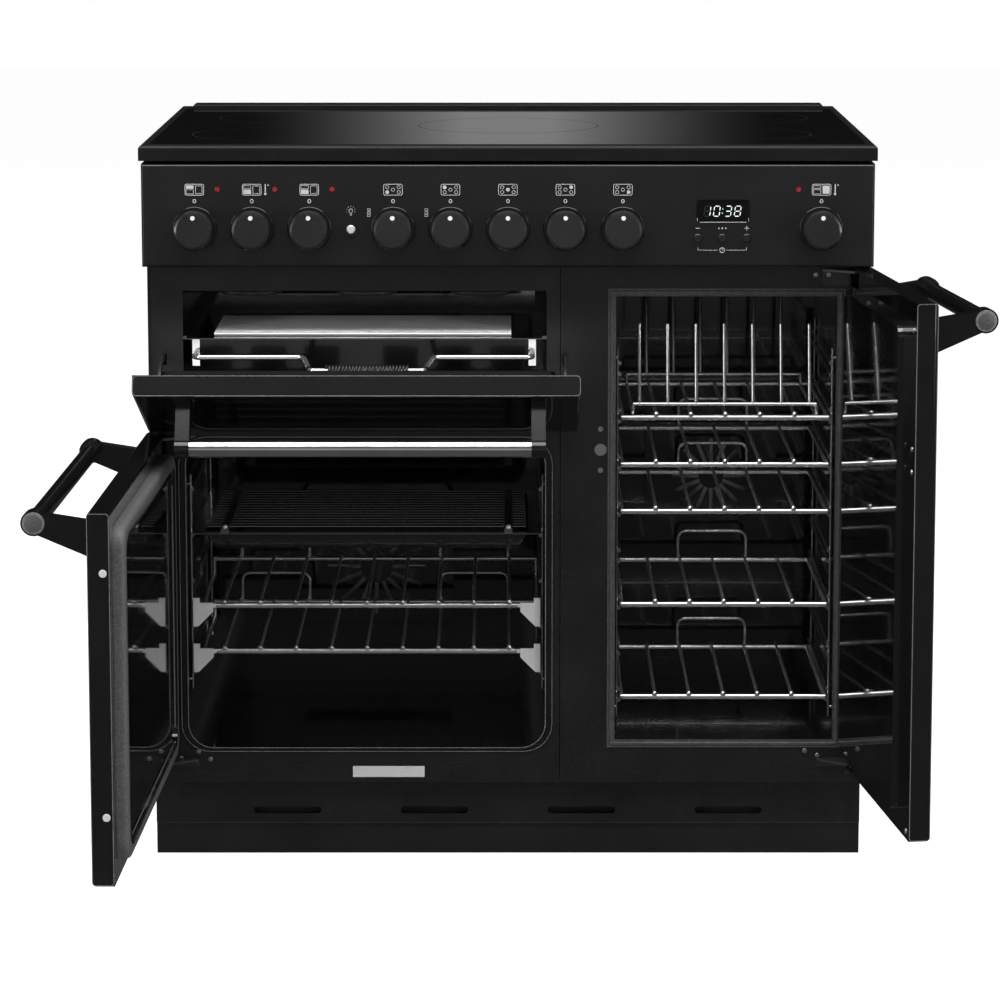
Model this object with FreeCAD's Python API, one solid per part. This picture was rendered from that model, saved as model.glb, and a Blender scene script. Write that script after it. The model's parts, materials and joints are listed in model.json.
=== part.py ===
"""Range cooker with two ovens, a grill and a glass hob, with its doors open.

Millimetres. +X right, +Y to the back, +Z up. The origin is on the floor, at the middle of the
body's footprint. Depths are counted from the front face of the control panel. The grill and the
main oven are on the left, and the tall oven on the right.
"""
import FreeCAD, Part
import math
import os
from FreeCAD import Vector

# ---------------------------------------------------------------- overall size
WIDTH = 900.0            # hob frame, side to side
DEPTH = 608.0            # panel front to back face
HEIGHT = 905.0           # floor to the glass
HOB_OVERHANG = 5.0       # hob frame past the body, at each side
BODY_HALF = WIDTH / 2 - HOB_OVERHANG
SHEET = 1.0              # body and oven sheet
FRAME_SHEET = 1.2        # front frame, plinth and back sheet
JOINT = 0.5              # open line between fitted pieces
RUN = 0.3                # gap between a resting piece and its seat

# ---------------------------------------------------------------- heights
PLINTH_TOP = 41.0
TRAY_BOTTOM = 97.0       # base tray and the foot of the front frame
TRAY_SHEET = 1.5
HOB_BOTTOM = HEIGHT - 19.0
PANEL_TOP = HOB_BOTTOM - 4.0
PANEL_BOTTOM = PANEL_TOP - 126.0
FRAME_TOP = PANEL_BOTTOM + 4.0

# ---------------------------------------------------------------- depths
SIDE_FRONT = 42.0
FRAME_FACE = 45.0
VENT_FACE = 60.0
PLINTH_FACE = 64.0

# ---------------------------------------------------------------- doors, as closed
DOOR_SPLIT = 89.0        # X of the line between the left doors and the tall door
DOOR_GAP = 2.0           # from that line to a door's edge
DOOR_BOTTOM = TRAY_BOTTOM + 25.0
DOOR_TOP = PANEL_BOTTOM - 3.0
GRILL_DOOR_HIGH = 202.0
GRILL_DOOR_GAP = 6.0     # between the grill door and the main door
DOOR_HALF = BODY_HALF + 1.0
GRILL_BOTTOM = DOOR_TOP - GRILL_DOOR_HIGH
MAIN_DOOR = (-DOOR_HALF, DOOR_SPLIT - DOOR_GAP, DOOR_BOTTOM, GRILL_BOTTOM - GRILL_DOOR_GAP)
GRILL_DOOR = (-DOOR_HALF, DOOR_SPLIT - DOOR_GAP, GRILL_BOTTOM, DOOR_TOP)
TALL_DOOR = (DOOR_SPLIT + DOOR_GAP, DOOR_HALF, DOOR_BOTTOM, DOOR_TOP)
DOOR_FACE = 2.0
DOOR_EDGE = 28.0         # depth of the skin's turned edge
DOOR_SHEET = 1.2
DOOR_ROUND = 5.0
HINGE_INSET = 16.0       # from a door's edge to its hinge line
MAIN_HINGE = (MAIN_DOOR[0] + HINGE_INSET, 22.0)      # X and depth of the hinge line
TALL_HINGE = (TALL_DOOR[1] - HINGE_INSET, 22.0)
GRILL_PIVOT = (20.0, GRILL_BOTTOM + 19.0)            # depth and Z of the pivot line
MAIN_OPEN = 91.5
TALL_OPEN = 97.0
GRILL_OPEN = 68.3
LINER_INSET = 30.0
LINER_CORNER = 12.0
MAIN_LINER_FACE = 39.0
TALL_LINER_FACE = 42.2
GRILL_LINER_FACE = 40.0
GASKET_WIDE = 9.0
GASKET_FACE = 42.2
GASKET_INSET = 2.0
GASKET_CORNER = 30.0
HINGE_REACH = 48.0       # how far a liner's hinge notch runs along the door
HINGE_NOTCH = 24.0       # and how high
PIN_RADIUS = 4.0
PIN_FIT = 0.1
EAR_PIN = 3.0
BRACKET_THICK = 3.0
BRACKET_REACH = 42.0     # from the hinge line to the end of the bracket's plate
BRACKET_NEAR = 6.0
BRACKET_SHEET = 1.5
UPPER_ARM = 7.0          # from a door's top down to the underside of its upper hinge arm
LOWER_ARM = 4.0          # from a door's foot up to the underside of its lower one
ARM_SPACE = 2.0
PLATE_SHORT, PLATE_MID, PLATE_LONG = 8.0, 18.0, 24.0
EAR_THICK = 4.0
EAR_ARM = 10.0
EAR_SLOPE = 38.0         # degrees
EAR_NOTCH = 46.0         # from the pivot up to the top of the liner's notch
EAR_X = (GRILL_DOOR[0] + 5.0, GRILL_DOOR[1] - 9.0)
STAY_THICK = 3.0
STAY_RADIUS = (66.0, 74.0)
STAY_X = (GRILL_DOOR[0] + 21.0, GRILL_DOOR[1] - 17.0)
STAY_END = 97.0          # degrees of arc, from the door
STAY_FOOT = 6.0          # a stay's foot past its curved blade, at each side
STAY_FOOT_THICK = 4.0
STAY_SPACE = 1.0         # round a stay where it passes the front frame

# ---------------------------------------------------------------- ovens (inside faces)
MAIN_OVEN = (-BODY_HALF + 45.0, DOOR_SPLIT - 43.0, MAIN_DOOR[2] + 20.0, MAIN_DOOR[3] - 11.0,
             DEPTH - 176.0)                          # left, right, floor, roof, back
TALL_OVEN = (DOOR_SPLIT + 45.0, BODY_HALF - 38.0, TALL_DOOR[2] + 30.6, TALL_DOOR[3] - 39.0,
             DEPTH - 208.0)
GRILL_BOX = (-BODY_HALF + 43.0, DOOR_SPLIT - 41.0, GRILL_BOTTOM + 43.0, DOOR_TOP - 25.0,
             DEPTH - 108.0)
GRILL_MOUTH_TOP = GRILL_BOX[3] - 7.0
MAIN_CORNER = 28.0
RIM_WIDE = 10.0
RIM_LOW = 5.0
RIM_THICK = 2.5
RIM_CORNER = 37.0
SEAL_WIDE = 10.0
SEAL_THICK = 2.5
SEAL_CORNER = 2.0
SEAM_X = DOOR_SPLIT - 24.0
SEAM = 0.8

# ---------------------------------------------------------------- control panel
PANEL_HALF = BODY_HALF + 2.0
PANEL_SHEET = 1.5
PANEL_EDGE = 3.0
KNOB_PITCH = 70.0
KNOB_END = PANEL_HALF - 65.0     # X of the outermost knobs
KNOB_X = (-KNOB_END, KNOB_PITCH - KNOB_END, 2 * KNOB_PITCH - KNOB_END,
          -2 * KNOB_PITCH, -KNOB_PITCH, 0.0, KNOB_PITCH, 2 * KNOB_PITCH, KNOB_END)
KNOB_Z = PANEL_TOP - 78.4
KNOB_RADIUS = 24.0
KNOB_REACH = 31.0
KNOB_HOLLOW = 20.5
KNOB_BOSS = 7.0
KNOB_FACE = 5.0          # thickness of the knob's front
BEZEL_RADIUS = 27.0
BEZEL_THICK = 4.0
BEZEL_ROUND = 1.5
SPINDLE_RADIUS = 3.0
SPINDLE_FIT = 0.08
SPINDLE_SPACE = 1.0      # round a spindle where it passes the panel
SPINDLE_END = 24.0
SWITCH_SIZE = 40.0
SWITCH_BACK = 30.0
LAMP_OFF = 28.0          # from a knob's middle to its lamp
LAMP_X = tuple(x + LAMP_OFF for x in KNOB_X[:3]) + (KNOB_END - LAMP_OFF,)
LAMP_Z = PANEL_TOP - 30.5
LAMP_RADIUS = 3.0
LAMP_PROUD = 0.8
LAMP_LIP = 1.2
LAMP_LIP_THICK = 2.0
LAMP_BODY = 4.0
LIGHT_X = KNOB_X[2] + 50.6
LIGHT_Z = KNOB_Z - 1.0
LIGHT_RADIUS = 5.25
LIGHT_RING = 9.0
LIGHT_RING_THICK = 1.5
LIGHT_TRAVEL = 3.0
LIGHT_PROUD = LIGHT_TRAVEL + 1.0
LIGHT_BODY = (10.0, 12.0)        # half width and half height of its switch
CLOCK_X = PANEL_HALF - 185.5
CLOCK_HALF = 30.8
WINDOW = (CLOCK_X - CLOCK_HALF, CLOCK_X + CLOCK_HALF, PANEL_TOP - 69.6, PANEL_TOP - 44.6)
WINDOW_SINK = 0.3
WINDOW_FIT = 0.15
TIMER_PITCH = 29.8
TIMER_X = (CLOCK_X - TIMER_PITCH, CLOCK_X, CLOCK_X + TIMER_PITCH)
TIMER_Z = PANEL_TOP - 90.5
TIMER_RADIUS = 5.4
TIMER_TRAVEL = 1.5
TIMER_PROUD = TIMER_TRAVEL + 0.5
TIMER_BODY = (WINDOW[0] - 15.0, WINDOW[1] + 15.0, TIMER_Z - 13.5, WINDOW[3] + 8.6)
BUTTON_FIT = 0.1
BUTTON_ROUND = 1.0
BUTTON_LIP = 1.2
BUTTON_LIP_THICK = 1.5
BUTTON_STEM = 16.0
STEM_RADIUS = 2.0
BUTTON_POCKET = 8.0

# ---------------------------------------------------------------- hob
HOB_EDGE = 5.0
GLASS_HALF = WIDTH / 2 - 12.5
GLASS_FRONT = 18.0
GLASS_BACK = DEPTH - 48.0
GLASS_THICK = 6.0
GLASS_LEDGE = 12.0
GLASS_CORNER = 8.0
ZONE_X = GLASS_HALF - 137.5
ZONE_FRONT = GLASS_FRONT + 142.0
ZONE_BACK = GLASS_BACK - 150.0
ZONES = ((-ZONE_X, ZONE_FRONT, 95.0), (-ZONE_X, ZONE_BACK, 80.0),
         (0.0, (GLASS_FRONT + GLASS_BACK) / 2, 115.0),
         (ZONE_X, ZONE_FRONT, 80.0), (ZONE_X, ZONE_BACK, 95.0))      # X, depth, radius
VENT_STRIP = (WIDTH / 2 - 20.0, DEPTH - 42.0, DEPTH - 6.0, 5.0)   # half length, depths, height
VENT_STRIP_ROUND = 2.0
VENT_STRIP_SLOTS = 6
VENT_SLOT = 6.0
VENT_SLOT_DEEP = 2.0

# ---------------------------------------------------------------- plinths
PLINTH_HALF = BODY_HALF - JOINT
VENT_PITCH = 185.6
VENT_SLOTS = tuple((i - 1.5) * VENT_PITCH for i in range(4))
VENT_SLOT_LONG = 85.0
VENT_SLOT_HIGH = 9.0
VENT_SLOT_Z = PLINTH_TOP + 16.0
VENT_SLOT_FLAT = 0.1     # short straight piece at each rounded end
VENT_LEDGE = 16.0

# ---------------------------------------------------------------- handles
RAIL_RADIUS = 10.5
ARM_THICK = 17.0
ARM_END = 14.5
ARM_FOOT = 40.0
ARM_RISE = 18.0          # the rail sits this far above the foot's middle
SIDE_STANDOFF = 62.0
GRILL_STANDOFF = 58.0
SIDE_RAIL_INSET = 27.0   # from a side door's edges to the ends of its handle
MAIN_RAIL = (MAIN_DOOR[0] + SIDE_RAIL_INSET, MAIN_DOOR[1] - SIDE_RAIL_INSET,
             MAIN_DOOR[3] - 17.0)                    # ends and height, as closed
TALL_RAIL = (TALL_DOOR[0] + SIDE_RAIL_INSET, TALL_DOOR[1] - SIDE_RAIL_INSET,
             TALL_DOOR[3] - 25.0)
GRILL_RAIL = (GRILL_DOOR[0] + 50.5, GRILL_DOOR[1] - 42.0, GRILL_DOOR[3] - 25.0)

# ---------------------------------------------------------------- shelves
RACK_WIRE = 2.25
RUNNER_WIRE = 2.5
SIDE_WIRE = 3.0
BAR_WIRE = 3.5
ROD_WIRE = 2.25
BALL = 3.6               # radius of a rod's rounded front end
BEND_SWELL = 0.06        # a welded corner is a little fuller than its wires
ROD_SINK = 1.0           # how far a rod is welded into the bars under it
ROD_PAST = 2.0           # how far a rod runs past the bars
RACK_OFF = 2.5           # from the oven wall to a rack's upright
RUNNER_OFF = 5.0
SIDE_OFF = 8.5
RACK_FRONT = 72.0
RACK_REAR = 56.0         # from a rack's rear upright to the oven's back
RUNNER_PAST = 6.0
PEG_INSET = 12.0
RACK_BELOW = 22.0        # uprights past the lowest and the highest runner
RACK_ABOVE = 18.0
SHELF_FRONT = 60.0
MAIN_SHELF_BACK = MAIN_OVEN[4] - 79.0
TALL_SHELF_BACK = TALL_OVEN[4] - 62.0
MAIN_PITCH = 58.5
MAIN_RUNNERS = tuple(MAIN_OVEN[2] + 92.0 + i * MAIN_PITCH for i in range(5))
MAIN_SHELF_RISE = 28.8   # from a runner up to the shelf's rods
MAIN_SHELF_Z = (MAIN_RUNNERS[0] + MAIN_SHELF_RISE, MAIN_RUNNERS[1] + MAIN_SHELF_RISE)
MAIN_ROD_INSET = 44.4
MAIN_RODS = 9
MAIN_LOOP_OFF = 132.0
TALL_FIRST = TALL_OVEN[2] + 51.4
TALL_PITCH = 59.3
TALL_PAIR_GAP = 14.0
TALL_SHELF_LEVEL = (5, 4, 2, 0)
TALL_ROD_INSET = 50.5
TALL_RODS = 5
LOOP_WIDE = 90.0
LOOP_HIGH = 39.0
LOOP_BEND = 11.0
CORNER_PLATE = (3.0, 25.0, 8.0, 10.0, 4.0, 7.0, 6.0)  # sheet, widths and heights of its outline
PLATE_PITCH = 35.4
PLATE_SIDE_SPACE = 22.0  # at least this from the oven's wall to an upright
PLATE_UPRIGHTS = int((TALL_OVEN[1] - TALL_OVEN[0] - 2 * PLATE_SIDE_SPACE) / PLATE_PITCH) + 1
PLATE_HIGH = 112.2       # from the top shelf up to the uprights' ends
PLATE_HEADROOM = 20.0    # at least this from the uprights' ends to the oven's roof
PLATE_RACK_LEVEL = int((TALL_OVEN[3] - PLATE_HEADROOM - PLATE_HIGH - TALL_FIRST) / TALL_PITCH)
TALL_LEVELS = PLATE_RACK_LEVEL + 2
PLATE_RAIL = 15.0
PLATE_LEAN = 22.0
PLATE_INSET = 14.0
PLATE_MARGIN = 8.0
POST_WIRE = 2.0

# ---------------------------------------------------------------- roasting tray
ROAST_LEVEL = 3
ROAST_FRONT = 58.0
ROAST_BACK = MAIN_SHELF_BACK - 2.0
ROAST_DEEP = 24.0
ROAST_SLOPE = 14.0
ROAST_LIP = 14.0
ROAST_SIDE = 5.5         # from the oven wall to the tray's rim
ROAST_SHEET = 1.2
ROAST_WIRES = 15
ROAST_WIRE = 1.75
ROAST_RACK_UP = 4.0
ROAST_RACK_INSET = 18.0
ROAST_RACK_ENDS = 25.0
ROAST_STRAP = 5.0
ROAST_STRAP_IN = 22.0
ROAST_STRAP_ENDS = 6.0

# ---------------------------------------------------------------- grill pan
PAN_SIDE = 6.0           # from the grill's wall to the pan's rim
PAN = (GRILL_BOX[0] + PAN_SIDE, GRILL_BOX[1] - PAN_SIDE, 15.0, 250.0)   # rim: left, right, depths
PAN_RIM_Z = GRILL_BOX[2] + 72.0
PAN_FLOOR_Z = PAN_RIM_Z - 44.0
PAN_SHEET = 1.2
PAN_RIM = 10.0
PAN_SLOPE = 14.0
PAN_TRAVEL = 230.0
PAN_RAIL = 4.0
PAN_RAIL_WIDE = PAN_RIM + 2.0
PAN_RAIL_PAST = 8.0
TRIVET = (PAN[0] + 33.0, PAN[1] - 38.0, PAN[2] + 25.0)     # left, right, front
TRIVET_WIRES = 9
TRIVET_WIRE = 3.2
TRIVET_PITCH = 18.5
TRIVET_FRAME = 2.5
TRIVET_INSET = 12.0
TRIVET_DROP = 5.0        # from the bright wires down to the frame under them
TRIVET_END = 4.0
HANDLE_MIDDLE = (PAN[0] + PAN[1]) / 2 + 6.5
HANDLE_WIRE = 3.2
HANDLE_DEPTH = -10.0
HANDLE_Z = PAN_RIM_Z - 20.0
HANDLE_HALF = 79.5       # from the handle's middle to the roots of its loop
HANDLE_ENDS = (PAN[0] + 12.0, PAN[1] - 12.0)
HANDLE_CORNER = 9.0
HANDLE_LEAN = 10.0       # the grip is this much narrower at each side than its roots
GRIP_HALF = 50.5
GRIP = (HANDLE_MIDDLE - GRIP_HALF, HANDLE_MIDDLE + GRIP_HALF, -60.0, HANDLE_Z - 9.0)
GRIP_WIRE = 1.75
GRIP_TURNS = 24
GRIP_SLACK = 0.75        # between the coil and the wire inside it
CLIP_HALF = 4.5
CLIP_THICK = 3.0
CLIP_DROP = 15.0

# ---------------------------------------------------------------- fans and elements
MAIN_FAN = ((MAIN_OVEN[0] + MAIN_OVEN[1]) / 2, MAIN_OVEN[2] + 158.0, 72.0)   # X, Z, radius
TALL_FAN = ((TALL_OVEN[0] + TALL_OVEN[1]) / 2, TALL_OVEN[2] + 277.4, 55.0)
FAN_DEEP = 30.0
FAN_BLADES = 12
FAN_COVER_ROUND = 32.0   # from the wheel's rim to the cover's side
FAN_COVER_CORNER = 14.0
FAN_SLOTS = 16
FAN_SLOT = 5.0
FAN_WHEEL = (8.0, 6.5, 22.0)     # from the back wall to the disc's faces and the blades' front
BLADE_THICK = 1.6
SHAFT_RADIUS = 4.0
SHAFT_SPACE = 1.0
SHAFT_SHORT = 5.0        # from the shaft's end to the motor's end
MOTOR_LONG = 45.0
MOTOR_RADIUS = 38.0
ELEMENT_WIRE = 3.5
RING_OUT = 12.0          # from the wheel's rim to the ring element
RING_OFF = 14.0          # from the back wall to it
RING_TAIL = 40.0         # degrees from the lowest point
ELEMENT_DROP = 14.0      # from the grill's roof down to its element
ELEMENT_INSET = 45.0
ELEMENT_RUNS = 6
ELEMENT_LONG = 420.0     # from the grill's back wall to the element's front bends
ELEMENT_REAR = 110.0
ELEMENT_BEND = 24.0
HANGER_DEPTH = 240.0
HANGER_WIRE = 2.5
TAIL_WIRE = 3.0

# ---------------------------------------------------------------- fixings
INLET = (-BODY_HALF + 115.0, TRAY_BOTTOM + 93.0, 13.0)        # X, Z, radius
TERMINALS = (-50.0, -10.0, 30.0, 90.0, 40.0)      # from the inlet: X, X, Z, Z, and its depth
STABILITY = (150.0, TRAY_BOTTOM + 33.0, 3.25)     # half spacing, Z, radius
FOOT_RADIUS = 21.0
FOOT_THICK = 8.0
FOOT_STEM = 5.0
FOOT_X = BODY_HALF - 65.0
FOOT_DEPTH = (120.0, DEPTH - 48.0)
CATCH = (DOOR_SPLIT + 26.0, MAIN_DOOR[3] - 23.0, 7.5)         # X, Z, radius
SMALL_CATCH = (SEAM_X + 4.0, (MAIN_DOOR[2] + MAIN_DOOR[3]) / 2 + 33.5, 3.5)
CATCH_BASE = 1.5
CATCH_NOSE = 2.5
CATCH_SCREW_OFF = 26.0
FRAME_SCREWS = ((CATCH[0], CATCH[1] + CATCH_SCREW_OFF), (CATCH[0], CATCH[1] - CATCH_SCREW_OFF),
                (-BODY_HALF + 20.0, DOOR_TOP - 18.0), (BODY_HALF - 20.0, TRAY_BOTTOM + 13.0))
SCREW_RADIUS = 3.2
SCREW_THICK = 1.2
BARE_PLATE = (-150.0, 45.0, TRAY_BOTTOM + 7.0, TRAY_BOTTOM + 21.0, 0.5)   # X, half, Z, Z, sheet

ALONG_X = Vector(1, 0, 0)
ALONG_Y = Vector(0, 1, 0)
ALONG_Z = Vector(0, 0, 1)
EPS = 1e-6
THROUGH = 1.0            # how far a cutting tool passes the face it cuts
SLIVER = 0.01


def at(depth):
    """Y of a depth behind the panel's front face."""
    return depth - DEPTH / 2


def box(x, depth, z):
    size = (x[1] - x[0], depth[1] - depth[0], z[1] - z[0])
    return Part.makeBox(*size, Vector(x[0], at(depth[0]), z[0]))


def disc(x, z, radius, depth):
    """Cylinder along Y between two depths."""
    return Part.makeCylinder(radius, depth[1] - depth[0], Vector(x, at(depth[0]), z), ALONG_Y)


def bar(a, b, radius):
    """Round bar between two points given as X, depth and Z."""
    start = Vector(a[0], at(a[1]), a[2])
    run = Vector(b[0], at(b[1]), b[2]) - start
    return Part.makeCylinder(radius, run.Length, start, run)


def ball(p, radius):
    return Part.makeSphere(radius, Vector(p[0], at(p[1]), p[2]))


def bent_wire(points, radius, bend):
    """Round wire along straight runs with a tangent arc at each corner, from X, depth and Z."""
    places = [Vector(x, at(depth), z) for x, depth, z in points]
    edges = []
    last = places[0]
    for before, corner, after in zip(places, places[1:], places[2:]):
        way_in = (corner - before).normalize()
        way_out = (after - corner).normalize()
        half_turn = way_in.getAngle(way_out) / 2
        reach = bend * math.tan(half_turn)
        start, end = corner - way_in * reach, corner + way_out * reach
        inward = (way_out - way_in).normalize()
        middle = corner + inward * bend * (1 / math.cos(half_turn) - 1)
        edges.append(Part.LineSegment(last, start).toShape())
        edges.append(Part.Arc(start, middle, end).toShape())
        last = end
    edges.append(Part.LineSegment(last, places[-1]).toShape())
    section = Part.Wire(Part.makeCircle(radius, places[0], places[1] - places[0]))
    return Part.Wire(edges).makePipeShell([section], True, False)


def fuse(pieces):
    whole = pieces[0]
    if len(pieces) > 1:
        whole = whole.multiFuse(pieces[1:])
    return whole.removeSplitter()


def group(pieces):
    """Separate solids that share a node."""
    solids = [s for piece in pieces for s in piece.Solids]
    return Part.makeCompound(solids)


def slab(x, z, depth, corner=0.0):
    """Upright plate with rounded corners."""
    if corner <= 0:
        return box(x, depth, z)
    y = at(depth[0])
    diag = corner * (1 - math.sqrt(0.5))
    left, right, low, high = x[0], x[1], z[0], z[1]
    edges = []
    corners = ((right, low, -1, 1, 0), (right, high, -1, -1, 1), (left, high, 1, -1, 0),
               (left, low, 1, 1, 1))
    ends = []
    for cx, cz, sx, sz, vertical_first in corners:
        flat = Vector(cx + sx * corner, y, cz)
        tall = Vector(cx, y, cz + sz * corner)
        middle = Vector(cx + sx * diag, y, cz + sz * diag)
        a, b = (tall, flat) if vertical_first else (flat, tall)
        ends.append((a, middle, b))
    for i, (a, middle, b) in enumerate(ends):
        edges.append(Part.Arc(a, middle, b).toShape())
        edges.append(Part.LineSegment(b, ends[(i + 1) % 4][0]).toShape())
    face = Part.Face(Part.Wire(edges))
    return face.extrude(Vector(0, depth[1] - depth[0], 0))


def profile(points, x):
    """Plate cut to an outline of depths and heights, between two X."""
    corners = [Vector(x[0], at(d), z) for d, z in points]
    face = Part.Face(Part.makePolygon(corners + corners[:1]))
    return face.extrude(Vector(x[1] - x[0], 0, 0))


def flat_plate(points, z):
    """Level plate cut to an outline of X and depths, between two heights."""
    corners = [Vector(x, at(d), z[0]) for x, d in points]
    face = Part.Face(Part.makePolygon(corners + corners[:1]))
    return face.extrude(Vector(0, 0, z[1] - z[0]))


def grown(span, by):
    return (span[0] - by, span[1] + by)


def edges_at(shape, depth):
    """Edges that lie in the upright plane at a depth."""
    return [e for e in shape.Edges if abs(e.BoundBox.YMax - at(depth)) < EPS]


def swing(shape, point, axis, degrees):
    turned = shape.copy()
    turned.rotate(point, axis, degrees)
    return turned


def open_main(shape):
    line = Vector(MAIN_HINGE[0], at(MAIN_HINGE[1]), 0)
    return swing(shape, line, ALONG_Z, -MAIN_OPEN)


def open_tall(shape):
    line = Vector(TALL_HINGE[0], at(TALL_HINGE[1]), 0)
    return swing(shape, line, ALONG_Z, TALL_OPEN)


def open_grill(shape):
    line = Vector(0, at(GRILL_PIVOT[0]), GRILL_PIVOT[1])
    return swing(shape, line, ALONG_X, GRILL_OPEN)


# ---------------------------------------------------------------- body
INNER_HALF = BODY_HALF - SHEET
FRAME_BACK = FRAME_FACE + FRAME_SHEET
BACK_FACE = DEPTH - FRAME_SHEET


def side_panels():
    high = (TRAY_BOTTOM, HOB_BOTTOM)
    deep = (SIDE_FRONT, DEPTH)
    behind_panel = box((-PANEL_HALF, PANEL_HALF), (0, FRAME_FACE), (PANEL_BOTTOM, PANEL_TOP))
    return group([box(x, deep, high).cut(behind_panel)
                  for x in ((-BODY_HALF, -INNER_HALF), (INNER_HALF, BODY_HALF))])


def back_panel():
    panel = box((-INNER_HALF, INNER_HALF), (BACK_FACE, DEPTH), (TRAY_BOTTOM, HOB_BOTTOM))
    through = (BACK_FACE - THROUGH, DEPTH + THROUGH)
    holes = [disc(INLET[0], INLET[1], INLET[2], through)]
    for side in (-1, 1):
        holes.append(disc(side * STABILITY[0], STABILITY[1], STABILITY[2], through))
    return panel.cut(holes)


def base_tray():
    return box((-INNER_HALF, INNER_HALF), (FRAME_BACK, BACK_FACE),
               (TRAY_BOTTOM, TRAY_BOTTOM + TRAY_SHEET))


def levelling_feet():
    feet = []
    for x, depth in [(side * FOOT_X, depth) for side in (-1, 1) for depth in FOOT_DEPTH]:
        place = Vector(x, at(depth), 0)
        pad = Part.makeCylinder(FOOT_RADIUS, FOOT_THICK, place)
        stem = Part.makeCylinder(FOOT_STEM, TRAY_BOTTOM, place)
        feet.append(fuse([pad, stem]))
    return group(feet)


def skirting(face, z):
    """Front board with a return down each side of the body."""
    front = box((-PLINTH_HALF, PLINTH_HALF), (face, face + FRAME_SHEET), z)
    sides = [box((s * PLINTH_HALF - (s > 0) * FRAME_SHEET, s * PLINTH_HALF + (s < 0) * FRAME_SHEET),
                 (face, DEPTH), z) for s in (-1, 1)]
    return fuse([front] + sides)


def plinth():
    return skirting(PLINTH_FACE, (0, PLINTH_TOP))


def vent_plinth():
    board = skirting(VENT_FACE, (PLINTH_TOP, TRAY_BOTTOM))
    ledge = box((-PLINTH_HALF, PLINTH_HALF), (VENT_FACE, VENT_FACE + VENT_LEDGE),
                (TRAY_BOTTOM - FRAME_SHEET, TRAY_BOTTOM))
    depth = (VENT_FACE - THROUGH, VENT_FACE + FRAME_SHEET + THROUGH)
    z = (VENT_SLOT_Z - VENT_SLOT_HIGH / 2, VENT_SLOT_Z + VENT_SLOT_HIGH / 2)
    slots = [slab((x - VENT_SLOT_LONG / 2, x + VENT_SLOT_LONG / 2), z, depth,
                  VENT_SLOT_HIGH / 2 - VENT_SLOT_FLAT) for x in VENT_SLOTS]
    return fuse([board, ledge]).cut(slots)


def front_frame():
    plate = box((-INNER_HALF, INNER_HALF), (FRAME_FACE, FRAME_BACK), (TRAY_BOTTOM, FRAME_TOP))
    cut_depth = (FRAME_FACE - THROUGH, FRAME_BACK + THROUGH)
    main = MAIN_OVEN
    gap = SHEET + JOINT
    openings = [slab(grown(main[0:2], gap), grown(main[2:4], gap), cut_depth, MAIN_CORNER + gap),
                box(TALL_OVEN[0:2], cut_depth, TALL_OVEN[2:4]),
                box(GRILL_BOX[0:2], cut_depth, (GRILL_BOX[2], GRILL_MOUTH_TOP)),
                box((SEAM_X - SEAM / 2, SEAM_X + SEAM / 2), cut_depth, (0, HEIGHT))]
    away = FRAME_FACE - GRILL_PIVOT[0]
    low = GRILL_PIVOT[1] + math.sqrt(STAY_RADIUS[0] ** 2 - (away + FRAME_SHEET) ** 2)
    high = GRILL_PIVOT[1] + math.sqrt(STAY_RADIUS[1] ** 2 - away ** 2)
    for x in STAY_X:
        half = STAY_THICK / 2 + STAY_SPACE
        openings.append(box((x - half, x + half), cut_depth,
                            (low - 2 * STAY_SPACE, high + 2 * STAY_SPACE)))
    return group([plate.cut(openings)])


# ---------------------------------------------------------------- control panel
def button_holes():
    return [(LIGHT_X, LIGHT_Z, LIGHT_RADIUS)] + [(x, TIMER_Z, TIMER_RADIUS) for x in TIMER_X]


def control_panel():
    outer = box((-PANEL_HALF, PANEL_HALF), (0, FRAME_FACE), (PANEL_BOTTOM, PANEL_TOP))
    outer = outer.makeFillet(PANEL_EDGE, edges_at(outer, 0))
    half = PANEL_HALF - PANEL_SHEET
    inner = box((-half, half), (PANEL_SHEET, FRAME_FACE + THROUGH),
                (PANEL_BOTTOM + PANEL_SHEET, PANEL_TOP - PANEL_SHEET))
    through = (-THROUGH, PANEL_SHEET + THROUGH)
    spindle_hole = SPINDLE_RADIUS + SPINDLE_SPACE
    cuts = [inner, box(WINDOW[0:2], through, WINDOW[2:4])]
    cuts += [disc(x, KNOB_Z, spindle_hole, through) for x in KNOB_X]
    cuts += [disc(x, LAMP_Z, LAMP_RADIUS + SPINDLE_FIT, through) for x in LAMP_X]
    cuts += [disc(x, z, r + BUTTON_FIT, through) for x, z, r in button_holes()]
    fascia = outer.cut(cuts)
    bezels = []
    for x in KNOB_X:
        ring = disc(x, KNOB_Z, BEZEL_RADIUS, (-BEZEL_THICK, 0))
        ring = ring.makeFillet(BEZEL_ROUND, edges_at(ring, -BEZEL_THICK))
        bezels.append(ring.cut(disc(x, KNOB_Z, spindle_hole, (-BEZEL_THICK - THROUGH, THROUGH))))
    collar = disc(LIGHT_X, LIGHT_Z, LIGHT_RING, (-LIGHT_RING_THICK, 0))
    bezels.append(collar.cut(disc(LIGHT_X, LIGHT_Z, LIGHT_RADIUS + BUTTON_FIT,
                                  (-LIGHT_RING_THICK - THROUGH, THROUGH))))
    return group([fascia] + bezels)


def button_pocket(x, z, radius):
    """Room behind the panel for a button's lip, and the bore for its stem."""
    return [disc(x, z, radius + BUTTON_LIP + 2 * BUTTON_FIT, (0, BUTTON_POCKET)),
            disc(x, z, STEM_RADIUS + BUTTON_FIT, (0, SWITCH_BACK + THROUGH))]


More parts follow.
